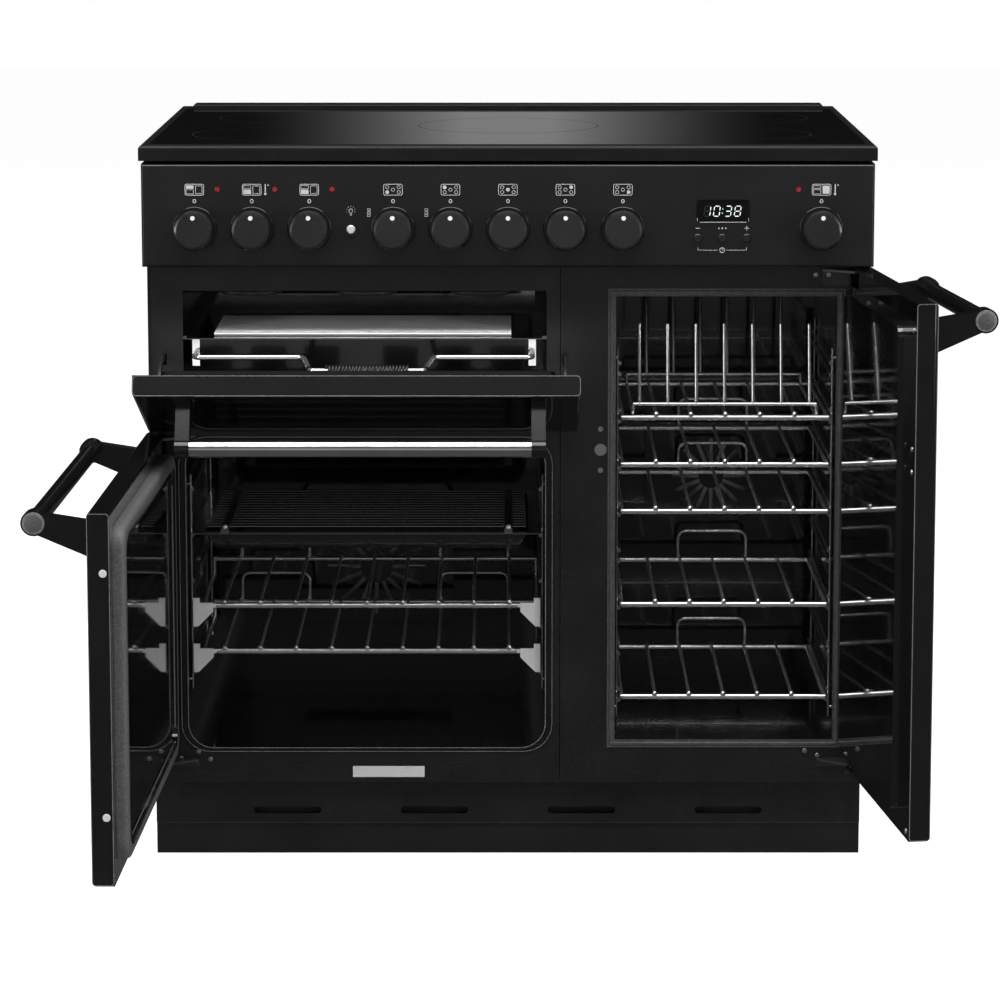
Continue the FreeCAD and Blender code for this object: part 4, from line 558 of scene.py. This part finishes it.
def middle_of(node):
    """X and Z of a node's middle, in millimetres."""
    low, high = box_of(node)
    return (low.x + high.x) / 2, (low.z + high.z) / 2


KNOB_X = [middle_of(f"knob_{i}")[0] for i in range(1, 10)]
KNOB_Z = middle_of("knob_1")[1]
POINTER_RISE, OFF_MARK_RISE, ICON_RISE = 15.7, 33.4, 47.4      # above the knobs' middles
DOT_HIGH = 0.3
knob_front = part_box("knob_1")[0].y

dot_white = finish("dot_white", (0.66, 0.76), (0.4, 0.5), peel=(1500, 5000), depth=0.004)
for number, x in enumerate(KNOB_X, 1):
    ink(f"knob_dot_{number}", [(x, KNOB_Z + POINTER_RISE, 5.6, 5.6, 2.75, None)],
        f"knob_{number}", knob_front, dot_white, thick=DOT_HIGH)
ink("off_marks", [(x, KNOB_Z + OFF_MARK_RISE, 4.2, 5.0, 1.9, 0.95) for x in KNOB_X], "root",
    PANEL_Y)

ICON_Z = KNOB_Z + ICON_RISE
ICON_FRAME = (23.4, 14.0, 2.2, 0.7)      # width, height, corner and stroke
CELLS = {"grill": (-5.5, 3.2, 9.4, 4.0),
         "main": (-5.5, -2.6, 9.4, 5.6),
         "tall": (5.5, 0.0, 8.6, 9.8)}
ZONES = ((-7.0, -3.0), (-7.0, 3.0), (0.0, 0.0), (7.0, 3.0), (7.0, -3.0))


def oven_icon(x, cell):
    """Front of the cooker in little, with one space filled."""
    drawings = [(x, ICON_Z, *ICON_FRAME)]
    for name, (dx, dz, width, height) in CELLS.items():
        stroke = None if name == cell else 0.55
        drawings.append((x + dx, ICON_Z + dz, width, height, 0.6, stroke))
    return drawings


def zone_icon(x, zone):
    """Hob in little, with one zone filled."""
    drawings = [(x, ICON_Z, *ICON_FRAME)]
    for number, (dx, dz) in enumerate(ZONES):
        stroke = None if number == zone else 0.6
        drawings.append((x + dx, ICON_Z + dz, 4.6, 4.6, 2.2, stroke))
    return drawings


def thermometer(x):
    """Stem, bulb and degree mark."""
    return [(x, ICON_Z + 1.4, 1.3, 11.0, 0.6, None), (x, ICON_Z - 5.2, 3.0, 3.0, 1.4, None),
            (x + 3.4, ICON_Z + 5.6, 1.9, 1.9, 0.9, 0.5)]


def twin_zone_sign(x):
    """Three small boxes one over another, beside a knob that works a zone in parts."""
    return [(x, KNOB_Z + 19.4 + step, 4.0, 2.9, 0.4, 0.6) for step in (-3.6, 0.0, 3.6)]


def bulb_sign(x):
    """Glowing bulb over the light button."""
    drawings = [(x, KNOB_Z + 21.5, 4.6, 5.4, 2.1, 0.55), (x, KNOB_Z + 17.2, 2.2, 2.6, 0.6, 0.5)]
    for ray in range(7):
        angle = math.radians(ray * 37 - 21)
        drawings.append((x + 5.0 * math.cos(angle), KNOB_Z + 22.0 + 5.0 * math.sin(angle),
                         0.9, 0.9, 0.4, None))
    return drawings


def timer_signs(left, centre, right, z):
    """Minus, three dots and plus over the clock's buttons, and a bracket with a clock below."""
    above, below = z + 12.2, z - 14.6
    drawings = [(left, above, 5.4, 0.8, 0.3, None), (right, above, 5.4, 0.8, 0.3, None),
                (right, above, 0.8, 5.4, 0.3, None)]
    drawings += [(centre + step, above, 1.9, 1.9, 0.9, None) for step in (-4.2, 0.0, 4.2)]
    for side in (-1, 1):
        drawings.append((centre + side * 17.6, below, 24.6, 0.5, 0.2, None))
        drawings.append((centre + side * 29.6, z - 12.9, 0.5, 3.6, 0.2, None))
    return drawings + [(centre, below, 6.8, 6.8, 3.3, 0.7),
                       (centre, z - 13.6, 0.6, 2.4, 0.25, None),
                       (centre + 0.9, below, 2.0, 0.6, 0.25, None)]


THERMOMETER_STEP, TWIN_STEP = 16.5, -29.5      # from a knob's middle to the sign beside it
TIMER_X = [middle_of(f"timer_button_{i}")[0] for i in (1, 2, 3)]
TIMER_Z = middle_of("timer_button_1")[1]
print_marks = []
for knob, cell in ((0, "grill"), (1, "main"), (2, "main"), (8, "tall")):
    print_marks += oven_icon(KNOB_X[knob], cell)
for zone in range(len(ZONES)):
    print_marks += zone_icon(KNOB_X[3 + zone], zone)
for knob in (1, 8):
    print_marks += thermometer(KNOB_X[knob] + THERMOMETER_STEP)
for knob in (3, 4):
    print_marks += twin_zone_sign(KNOB_X[knob] + TWIN_STEP)
print_marks += bulb_sign(middle_of("light_button")[0]) + timer_signs(*TIMER_X, TIMER_Z)
ink("panel_print", print_marks, "root", PANEL_Y)

# Clock: a raised rim round the window, and lit strokes behind it.
CLOCK_X, CLOCK_Z = TIMER_X[1] + 0.7, TIMER_Z + 33.4
WINDOW_SUNK, FIGURES_SUNK, RIM_HIGH = 0.28, 0.2, 0.9
clock_black = finish("clock_black", (0.0022, 0.0034), (0.2, 0.28), peel=(400, 2400), depth=0.006,
                     specular=0.2)
clock_lit = finish("clock_lit", ((0.62, 0.70, 0.68), (0.72, 0.80, 0.78)), (0.4, 0.5),
                   peel=(900, 3000), depth=0.004)
lit_shader = clock_lit.node_tree.nodes["Principled BSDF"]
lit_shader.inputs["Emission Color"].default_value = (0.8, 0.9, 0.86, 1)
lit_shader.inputs["Emission Strength"].default_value = 0.3
clock_faint = finish("clock_faint", (0.014, 0.02), (0.4, 0.5), peel=(900, 3000), depth=0.004)
ink("clock_window", [(CLOCK_X, CLOCK_Z, 61.0, 24.4, 2.6, None)], "root",
    PANEL_Y + WINDOW_SUNK * MM, clock_black, thick=0.06)
ink("clock_rim", [(CLOCK_X, CLOCK_Z, 64.6, 28.0, 3.6, 1.7)], "root", PANEL_Y, clock_black,
    thick=RIM_HIGH)
# Thin pale strips along the window's lower edge and sides: a painted highlight on the lip of the
# recess.
ink("clock_lip_highlight", [(CLOCK_X, CLOCK_Z - 13.6, 57.0, 0.7, 0.3, None),
                  (CLOCK_X - 31.2, CLOCK_Z - 10.6, 0.5, 4.4, 0.2, None),
                  (CLOCK_X + 31.2, CLOCK_Z - 10.6, 0.5, 4.4, 0.2, None)],
    "root", PANEL_Y - RIM_HIGH * MM)
SEGMENTS = {"a": (0, 2), "g": (0, 0), "d": (0, -2), "f": (-1, 1), "b": (1, 1), "e": (-1, -1),
            "c": (1, -1)}
DIGITS = {"1": "bc", "0": "abcdef", "3": "abcdg", "8": "abcdefg"}
STROKE = 1.1
STROKE_GAP = 1.5         # a stroke is this much shorter than the way between two others
DIGIT = (7.0, 12.4)      # width and height between the middles of the strokes
LEAN = 0.13              # how far the figures lean for each millimetre of height


def digit_strokes(x, strokes):
    """Strokes of one figure, by their places in a seven-stroke display."""
    drawings = []
    for name in strokes:
        across, up = SEGMENTS[name]
        if across == 0:
            drawings.append((x, up * DIGIT[1] / 4, DIGIT[0] - STROKE_GAP, STROKE, STROKE * 0.48,
                             None))
        else:
            drawings.append((x + across * DIGIT[0] / 2, up * DIGIT[1] / 4, STROKE,
                             DIGIT[1] / 2 - STROKE_GAP, STROKE * 0.48, None))
    return drawings


def clock_figures(name, drawings, material):
    """Leaning strokes in the clock's window."""
    shape = bmesh.new()
    for x, z, width, height, corner, stroke in drawings:
        plate(shape, width, height, corner, 0.12, (x, z), stroke, segments=1)
    bmesh.ops.recalc_face_normals(shape, faces=shape.faces)
    lean = Matrix(((1, LEAN, 0), (0, 1, 0), (0, 0, 1)))
    bmesh.ops.transform(shape, matrix=lean.to_4x4(), verts=shape.verts)
    stand(shape, "front", (CLOCK_X, PANEL_Y / MM + FIGURES_SUNK, CLOCK_Z - 0.2))
    to_metres(shape)
    piece(name, shape, material, "root")


PLACES = (-19.0, -7.6, 6.4, 17.8)
lit = [stroke for x, figure in zip(PLACES, "1038") for stroke in digit_strokes(x, DIGITS[figure])]
lit += [(-0.6, rise, 1.5, 1.5, 0.7, None) for rise in (-2.6, 2.6)]
clock_figures("clock_figures", lit, clock_lit)
clock_figures("clock_resting_strokes", digit_strokes(PLACES[0], "adefg"), clock_faint)

# ---------------------------------------------------------------- studs, discs and seals


def stud(shape, facing, at, radius, high, recess):
    """Round head with a softened rim and a sunk middle."""
    before = set(shape.verts)
    bmesh.ops.create_circle(shape, cap_ends=True, radius=radius, segments=28)
    base = added(shape, before)[1]
    top = bmesh.ops.extrude_face_region(shape, geom=base)["geom"]
    lifted = [v for v in top if isinstance(v, bmesh.types.BMVert)]
    bmesh.ops.translate(shape, vec=(0, 0, high), verts=lifted)
    face = [f for f in top if isinstance(f, bmesh.types.BMFace)]
    bmesh.ops.bevel(shape, geom=list(face[0].edges), offset=high * 0.35, affect="EDGES",
                    segments=3, profile=0.5, material=-1)
    if recess:
        face = [f for f in added(shape, before)[1]
                if f.calc_center_median().z > high * 0.9 and len(f.verts) > 4]
        bmesh.ops.inset_region(shape, faces=face, thickness=radius * (1 - recess))
        bmesh.ops.inset_region(shape, faces=face, thickness=radius * 0.04, depth=-high * 0.55)
    own, faces = added(shape, before)
    bmesh.ops.recalc_face_normals(shape, faces=faces)
    stand(shape, facing, at, own)


def studs(name, heads, body, material, joint=None):
    """Heads given as facing, place, radius, height and the share of the sunk middle."""
    shape = bmesh.new()
    for head in heads:
        stud(shape, *head)
    if joint:
        swing_open(shape, joint)
    smooth(shape)
    to_metres(shape)
    return piece(name, shape, material, body)


def closed_box(node, joint):
    """Corners of a door's node as it stands when closed, in millimetres."""
    hinge = JOINTS[joint]
    turn = Matrix.Rotation(math.radians(hinge["range_deg"][0]), 3, Vector(hinge["axis"]))
    pivot = Vector(hinge["pos_m"])
    points = [(turn @ (v.co - pivot) + pivot) / MM for v in NODES[node].data.vertices]
    return (Vector([min(p[i] for p in points) for i in range(3)]),
            Vector([max(p[i] for p in points) for i in range(3)]))


# Ring and disc at both ends of the two swinging doors' rails; the rings take the pale tone of the
# painted edge highlights.
RAIL_INSET = 14.5        # from the rail's outer faces to its middle
RING_RADIUS, RING_HIGH = 12.6, 1.0
DISC_RADIUS, DISC_HIGH = 9.8, 0.9
disc_grey = finish("disc_grey", (0.07, 0.13), (0.3, 0.42), metallic=0.4, peel=(500, 2200),
                   depth=0.015)
for side in ("main", "tall"):
    joint = f"{side}_door_hinge"
    low, high = closed_box(f"{side}_door_handle", joint)
    y, z = low.y + RAIL_INSET, high.z - RAIL_INSET
    for part, step, radius, rise, recess, material in (
            ("rings", 0.0, RING_RADIUS, RING_HIGH, 0.0, painted_edge_highlight),
            ("discs", 0.9, DISC_RADIUS, DISC_HIGH, 0.2, disc_grey)):
        heads = [("left", (low.x - step, y, z), radius, rise, recess),
                 ("right", (high.x + step, y, z), radius, rise, recess)]
        studs(f"{side}_handle_{part}", heads, f"{side}_door", material, joint)

# Screws: on the main door's near edge, round the tall door's liner, and at the hinges.
main_low, main_high = closed_box("main_door_skin", "main_door_hinge")
tall_low, tall_high = closed_box("tall_door_skin", "tall_door_hinge")
liner_low, liner_high = closed_box("main_door_liner", "main_door_hinge")
FLANGE_Y = main_high.y
FRAME_Y = box_of("front_frame")[0].y
EDGE_SCREWS_Z = (201.0, 477.5)
FLANGE_SCREWS_Z = (720.0, 582.0, 555.5, 131.0)
HINGE_SCREWS = ((-411.0, 128.0), (-392.0, 126.0), (-374.0, 127.0), (-389.0, 137.0),
                (389.0, 132.0), (373.0, 138.0), (380.0, 741.0), (396.0, 741.0))
studs("main_edge_screws",
      [("right", (main_high.x, main_high.y - 8.0, z), 4.4, 1.2, 0.5) for z in EDGE_SCREWS_Z],
      "main_door", pale_metal, "main_door_hinge")
studs("tall_flange_screws",
      [("back", (tall_low.x + 14.0, FLANGE_Y, z), 3.4, 0.9, 0.4) for z in FLANGE_SCREWS_Z],
      "tall_door", satin_steel, "tall_door_hinge")
studs("hinge_screws", [("front", (x, FRAME_Y, z), 3.0, 1.6, 0.5) for x, z in HINGE_SCREWS],
      "root", satin_steel)


def frame_ring(name, size, centre, corner, wide, deep, body, material, joint=None,
               facing="front", bevel=None):
    """Flat or rounded ring of a width and a height, standing round a place in millimetres."""
    shape = bmesh.new()
    plate(shape, size[0], size[1], corner, deep, (0, 0), wide, segments=8)
    bmesh.ops.recalc_face_normals(shape, faces=shape.faces)
    if bevel:
        top = [e for e in shape.edges if min(v.co.z for v in e.verts) > deep * 0.99
               and any(abs(f.normal.z) < 0.5 for f in e.link_faces)]
        bmesh.ops.bevel(shape, geom=top, offset=bevel, affect="EDGES", segments=5, profile=0.5,
                        material=-1, clamp_overlap=True)
    stand(shape, facing, centre)
    if joint:
        swing_open(shape, joint)
    smooth(shape, 50)
    to_metres(shape)
    return piece(name, shape, material, body)


def between(low, high):
    """Width and height between two corners, and their middle."""
    return ((high[0] - low[0], high[1] - low[1]),
            ((low[0] + high[0]) / 2, (low[1] + high[1]) / 2))


# Rounded gasket on the main door's flange, round the liner's raised part.
GASKET_INSET, GASKET_CORNER, GASKET_WIDE, GASKET_DEEP = 19.0, 26.0, 22.0, 14.1
size, middle = between((liner_low.x + GASKET_INSET, liner_low.z + GASKET_INSET),
                       (liner_high.x - GASKET_INSET, liner_high.z - GASKET_INSET))
frame_ring("main_door_gasket", size, (middle[0], FLANGE_Y + 0.1, middle[1]), GASKET_CORNER,
           GASKET_WIDE, GASKET_DEEP, "main_door", gasket_grey, "main_door_hinge",
           "back", bevel=6.0)

# Thin pale strips round the doors' near edges and the oven's mouth: painted highlights where these
# edges would catch the light.
HIGHLIGHT_WIDE, HIGHLIGHT_HIGH, HIGHLIGHT_INSET = 0.9, 0.2, 1.0
door_deep = main_high.y - main_low.y
door_y = (main_low.y + main_high.y) / 2
for name, low, high, near, facing in (("main", main_low, main_high, main_high.x, "right"),
                                      ("tall", tall_low, tall_high, tall_low.x, "left")):
    frame_ring(f"{name}_edge_highlight", (door_deep - HIGHLIGHT_INSET, high.z - low.z - HIGHLIGHT_INSET),
               (near, door_y, (low.z + high.z) / 2), 4.0, HIGHLIGHT_WIDE, HIGHLIGHT_HIGH, f"{name}_door",
               painted_edge_highlight, f"{name}_door_hinge", facing)
drop_low, drop_high = closed_box("grill_door_skin", "grill_door_hinge")
frame_ring("grill_edge_highlight", (drop_high.x - drop_low.x - HIGHLIGHT_INSET, door_deep - HIGHLIGHT_INSET),
           ((drop_low.x + drop_high.x) / 2, door_y, drop_high.z), 5.0, HIGHLIGHT_WIDE, HIGHLIGHT_HIGH,
           "grill_door", painted_edge_highlight, "grill_door_hinge", "up")
mouth_low, mouth_high = box_of("main_oven_cavity")
for name, inset, corner, wide in (("outer", 0.4, 36.0, 0.8), ("inner", 8.6, 32.0, 1.0)):
    size, middle = between((mouth_low.x + inset, mouth_low.z + inset * 0.55),
                           (mouth_high.x - inset, mouth_high.z - inset * 0.55))
    frame_ring(f"mouth_{name}_highlight", size, (middle[0], mouth_low.y + 0.02, middle[1]), corner,
               wide, 0.14, "root", painted_edge_highlight)


def strips(name, boxes, body, material):
    """Thin blocks between low and high corners in millimetres."""
    shape = bmesh.new()
    for low, high in boxes:
        before = set(shape.verts)
        bmesh.ops.create_cube(shape, size=1.0)
        own = added(shape, before)[0]
        bmesh.ops.scale(shape, vec=[b - a for a, b in zip(low, high)], verts=own)
        bmesh.ops.translate(shape, vec=[(a + b) / 2 for a, b in zip(low, high)], verts=own)
    to_metres(shape)
    return piece(name, shape, material, body)


# Thin pale strips along the top of the plinth and of the vent plinth: painted highlights on their
# top edges.
low, high = box_of("plinth")
vent = box_of("vent_plinth")[0]
strips("plinth_edge_highlight", [((low.x, low.y - 0.3, high.z - 1.3), (high.x, low.y + 0.1, high.z)),
                       ((low.x, vent.y - 0.3, vent.z + 54.9),
                        (high.x, vent.y + 0.1, vent.z + 56.0))],
       "root", painted_edge_highlight)

# Moulded seal round the tall oven, mitred at its corners. Each step runs in, and up or down.
SEAL_STEPS = ((0.02, 1.3), (1.6, 0.0), (0.5, -0.7), (0.6, 0.0), (0.8, 1.5), (1.4, 0.3),
              (1.4, -0.3), (0.5, -0.5), (1.4, 0.0), (0.5, 0.4), (0.8, 0.0), (0.3, -1.9))
seal_low, seal_high = box_of("tall_oven_seal")
size, middle = between((seal_low.x, seal_low.z), (seal_high.x, seal_high.z))
shape = bmesh.new()
bmesh.ops.create_grid(shape, x_segments=1, y_segments=1, size=0.5)
bmesh.ops.scale(shape, vec=(size[0], size[1], 1), verts=shape.verts)
face = list(shape.faces)
for wide, rise in SEAL_STEPS:
    bmesh.ops.inset_region(shape, faces=face, thickness=wide, depth=rise, use_even_offset=True,
                           use_boundary=True)
bmesh.ops.delete(shape, geom=face, context="FACES")
stand(shape, "front", (middle[0], seal_high.y, middle[1]))
smooth(shape, 30)
to_metres(shape)
seal = piece("tall_oven_moulded_seal", shape, seal_grey, "root")
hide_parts("tall_oven_seal")

# Small bright knobs at the front corners of the roasting tray's rack.
BALL_INSET = 40.0
tray_low, tray_high = box_of("roasting_tray")
shape = bmesh.new()
for x in (tray_low.x + BALL_INSET, tray_high.x - BALL_INSET):
    made = bmesh.ops.create_uvsphere(shape, u_segments=20, v_segments=12, radius=3.4)["verts"]
    bmesh.ops.translate(shape, verts=made, vec=(x, tray_low.y + 9.0, tray_high.z + 0.2))
smooth(shape)
to_metres(shape)
piece("tray_rack_balls", shape, pale_metal, "roasting_tray")

# Two rows of slots high in the main oven's back: dark plates are painted shade inside the slots,
# and a pale strip under each is a painted highlight on its lip.
slot_painted_shade = finish("slot_painted_shade", (0.0012, 0.002), (0.35, 0.5), peel=(500, 2500), depth=0.01,
                    specular=0.2)
back_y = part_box("main_oven_cavity")[1].y - 1.05 * MM
SLOTS = [(mouth_low.x + 56.0 + 56.0 * column, z) for column in range(7) for z in (461.0, 472.5)]
ink("rear_slot_shade", [(x, z, 40.0, 5.2, 2.5, None) for x, z in SLOTS], "root", back_y, slot_painted_shade)
ink("rear_slot_lip_highlights", [(x, z - 2.9, 36.0, 0.7, 0.3, None) for x, z in SLOTS], "root", back_y,
    painted_edge_highlight)

# Printed rings over the heating zones: two on each side and one in the middle.
RING_REACH, RING_WIDE, RING_RISE = 2.0, 1.2, 0.06
MIDDLE_HALF = 150        # the middle zone lies within this of the centre line
glass_top = box_of("hob_glass")[1].z
zone_verts = [v.co / MM for v in NODES["hob_elements"].data.vertices]
left = [p for p in zone_verts if p.x < -MIDDLE_HALF]
right = [p for p in zone_verts if p.x > MIDDLE_HALF]
zone_groups = [[p for p in left if p.y < 0], [p for p in left if p.y > 0],
               [p for p in zone_verts if abs(p.x) < MIDDLE_HALF],
               [p for p in right if p.y < 0], [p for p in right if p.y > 0]]
zone_print = finish("zone_print", (0.012, 0.02), (0.3, 0.4), peel=(1500, 5000), depth=0.004)
shape = bmesh.new()
for group in zone_groups:
    low_x, high_x = min(p.x for p in group), max(p.x for p in group)
    low_y, high_y = min(p.y for p in group), max(p.y for p in group)
    before = set(shape.verts)
    bmesh.ops.create_circle(shape, cap_ends=True, radius=(high_x - low_x) / 2 + RING_REACH,
                            segments=72)
    disc = added(shape, before)[1]
    bmesh.ops.inset_region(shape, faces=disc, thickness=RING_WIDE, use_boundary=True)
    bmesh.ops.delete(shape, geom=disc, context="FACES")
    bmesh.ops.translate(shape, verts=added(shape, before)[0],
                        vec=((low_x + high_x) / 2, (low_y + high_y) / 2, glass_top + RING_RISE))
to_metres(shape)
piece("zone_rings", shape, zone_print, "root")

# Dark sheet behind the vent slots: painted shade for the dark space under the ovens, where the
# white floor would otherwise show through.
SHADE_SHEET_HIGH, SHADE_SHEET_BEHIND = 46.0, 14.0
vent_low, vent_high = box_of("vent_plinth")
shape = bmesh.new()
plate(shape, vent_high.x - vent_low.x - 12, SHADE_SHEET_HIGH, 2.0, 1.0,
      (0, (vent_low.z + vent_high.z) / 2 - 1))
stand(shape, "front", (0, vent_low.y + SHADE_SHEET_BEHIND, 0))
bmesh.ops.recalc_face_normals(shape, faces=shape.faces)
to_metres(shape)
piece("vent_shade_sheet", shape, body_black, "root")

# ---------------------------------------------------------------- stage


FLOOR_HALF = 14.0
FLOOR_SEEN = 0.75         # extra light in what the camera sees, so that it meets the backdrop
FLOOR_MIRRORED = 0.075    # what the cooker mirrors of the floor
PALE_X, PALE_Y, PALE_GLOW = (0.2, 1.6), (-4.0, -5.5), 0.24      # a paler part far in front


def stage_floor():
    """Pale floor that shows the cooker's shadow and is dim in what the cooker mirrors."""
    shape = bmesh.new()
    bmesh.ops.create_grid(shape, x_segments=1, y_segments=1, size=FLOOR_HALF)
    mesh = bpy.data.meshes.new("floor")
    shape.to_mesh(mesh)
    shape.free()
    floor = bpy.data.objects.new("floor", mesh)
    bpy.context.scene.collection.objects.link(floor)
    material = bpy.data.materials.new("pale_floor")
    material.use_nodes = True
    tree = material.node_tree
    shader = tree.nodes["Principled BSDF"]
    shader.inputs["Base Color"].default_value = colour(0.8)
    shader.inputs["Roughness"].default_value = 0.9
    shader.inputs["Specular IOR Level"].default_value = 0.0
    path = tree.nodes.new("ShaderNodeLightPath")
    glow = tree.nodes.new("ShaderNodeEmission")
    seen = maths(tree, "MULTIPLY", path.outputs["Is Camera Ray"], FLOOR_SEEN)
    wire(tree, seen, glow.inputs["Strength"])
    both = tree.nodes.new("ShaderNodeAddShader")
    wire(tree, shader.outputs[0], both.inputs[0])
    wire(tree, glow.outputs[0], both.inputs[1])
    mirrored = tree.nodes.new("ShaderNodeEmission")
    apart = tree.nodes.new("ShaderNodeSeparateXYZ")
    wire(tree, tree.nodes.new("ShaderNodeTexCoord").outputs["Object"], apart.inputs[0])
    x, y, z = apart.outputs
    sideways = maths(tree, "ABSOLUTE", x)
    pale = maths(tree, "MULTIPLY", spread(tree, sideways, *PALE_X, PALE_GLOW, 0.0),
                 spread(tree, y, *PALE_Y, 0.0, 1.0))
    wire(tree, maths(tree, "ADD", pale, FLOOR_MIRRORED), mirrored.inputs["Strength"])
    pick = tree.nodes.new("ShaderNodeMixShader")
    bounced = maths(tree, "MAXIMUM", path.outputs["Is Glossy Ray"],
                    path.outputs["Is Transmission Ray"])
    wire(tree, bounced, pick.inputs[0])
    wire(tree, both.outputs[0], pick.inputs[1])
    wire(tree, mirrored.outputs[0], pick.inputs[2])
    wire(tree, pick.outputs[0], tree.nodes["Material Output"].inputs["Surface"])
    mesh.materials.append(material)


# Brightness of the mirrored room, and between which heights of view each part fades.
BAND_GLOW, BAND_Z, BAND_SIDE = 0.34, (0.16, 0.26), (0.35, 0.7)
FRONT_GLOW, FRONT_Y, ROOM_GLOW = 0.1, (0.1, -0.25), 0.008
OVERHEAD_GLOW, OVERHEAD_Z = 0.35, (0.35, 0.95)
PATCH_GLOW, PATCH_Z, PATCH_SIDE, PATCH_FADE = 0.38, (0.16, 0.24), (0.012, 0.075), 2.2
DIFFUSE_FILL = 0.35


def studio_world():
    """White behind the object; in what it mirrors, a grey room with a dark wall behind it."""
    world = bpy.data.worlds.new("studio")
    bpy.context.scene.world = world
    world.use_nodes = True
    tree = world.node_tree
    backdrop = tree.nodes["Background"]
    backdrop.inputs["Color"].default_value = colour(1.0)
    apart = tree.nodes.new("ShaderNodeSeparateXYZ")
    wire(tree, tree.nodes.new("ShaderNodeTexCoord").outputs["Generated"], apart.inputs[0])
    x, y, z = apart.outputs
    sideways = maths(tree, "DIVIDE", maths(tree, "ABSOLUTE", x),
                     maths(tree, "MAXIMUM", maths(tree, "ABSOLUTE", y), 0.01))
    band = maths(tree, "MULTIPLY", spread(tree, z, *BAND_Z, BAND_GLOW, 0.0),
                 spread(tree, sideways, *BAND_SIDE, 1.0, 0.0))
    front = maths(tree, "MULTIPLY", spread(tree, y, *FRONT_Y, 0.0, 1.0),
                  maths(tree, "ADD", band, FRONT_GLOW))
    front = maths(tree, "ADD", front, ROOM_GLOW)
    overhead = spread(tree, z, *OVERHEAD_Z, 0.0, OVERHEAD_GLOW)
    behind = maths(tree, "GREATER_THAN", y, 0.2)
    narrow = maths(tree, "POWER", spread(tree, sideways, *PATCH_SIDE, 1.0, 0.0), PATCH_FADE)
    low = maths(tree, "MULTIPLY", spread(tree, z, *PATCH_Z, PATCH_GLOW, 0.0), behind)
    patch = maths(tree, "MULTIPLY", narrow, low)
    mirrored = maths(tree, "ADD", maths(tree, "ADD", front, overhead), patch)
    is_diffuse = tree.nodes.new("ShaderNodeLightPath").outputs["Is Diffuse Ray"]
    fill = maths(tree, "MULTIPLY", is_diffuse, DIFFUSE_FILL)
    strength = maths(tree, "ADD", fill, maths(tree, "MULTIPLY", mirrored,
                                              maths(tree, "SUBTRACT", 1.0, is_diffuse)))
    is_camera = tree.nodes.new("ShaderNodeLightPath").outputs["Is Camera Ray"]
    room = tree.nodes.new("ShaderNodeBackground")
    wire(tree, strength, room.inputs["Strength"])
    pick = tree.nodes.new("ShaderNodeMixShader")
    wire(tree, is_camera, pick.inputs[0])
    wire(tree, room.outputs[0], pick.inputs[1])
    wire(tree, backdrop.outputs[0], pick.inputs[2])
    wire(tree, pick.outputs[0], tree.nodes["World Output"].inputs["Surface"])


def softbox(name, place, target, size, power):
    """Area light at a place, turned to a target, with its width and height in metres."""
    light = bpy.data.lights.new(name, "AREA")
    light.shape = "RECTANGLE"
    light.size, light.size_y = size
    light.energy = power
    lamp = bpy.data.objects.new(name, light)
    lamp.location = place
    lamp.rotation_euler = (Vector(target) - Vector(place)).to_track_quat("-Z", "Y").to_euler()
    bpy.context.scene.collection.objects.link(lamp)


CAMERA_AT, CAMERA_TILT = (0.00119, -4.7808, 1.3092), 8.33
LENS, SENSOR, SHIFT = 132.92, 36.0, (-0.0089, -0.15)


def camera():
    """Long lens in front of the cooker, a little above its hob and tilted down."""
    lens = bpy.data.cameras.new("camera")
    lens.lens = LENS
    lens.sensor_width = SENSOR
    lens.shift_x, lens.shift_y = SHIFT
    view = bpy.data.objects.new("camera", lens)
    view.location = CAMERA_AT
    view.rotation_euler = (math.radians(90 - CAMERA_TILT), 0, 0)
    bpy.context.scene.collection.objects.link(view)
    bpy.context.scene.camera = view


SOFTBOXES = (("overhead", (0.0, -1.1, 3.1), (0.0, -0.4, 0.6), (3.4, 1.5), 95),
             ("front_high", (0.0, -2.15, 2.95), (0.0, -0.3, 0.4), (3.0, 0.3), 30),
             ("left_strip", (-2.9, -3.0, 1.2), (-0.3, 0.0, 0.5), (0.6, 2.0), 32),
             ("right_strip", (2.9, -3.0, 1.2), (0.3, 0.0, 0.5), (0.6, 2.0), 32))
stage_floor()
studio_world()
for box in SOFTBOXES:
    softbox(*box)
camera()
bpy.context.scene.view_settings.view_transform = "Standard"
bpy.context.view_layer.update()
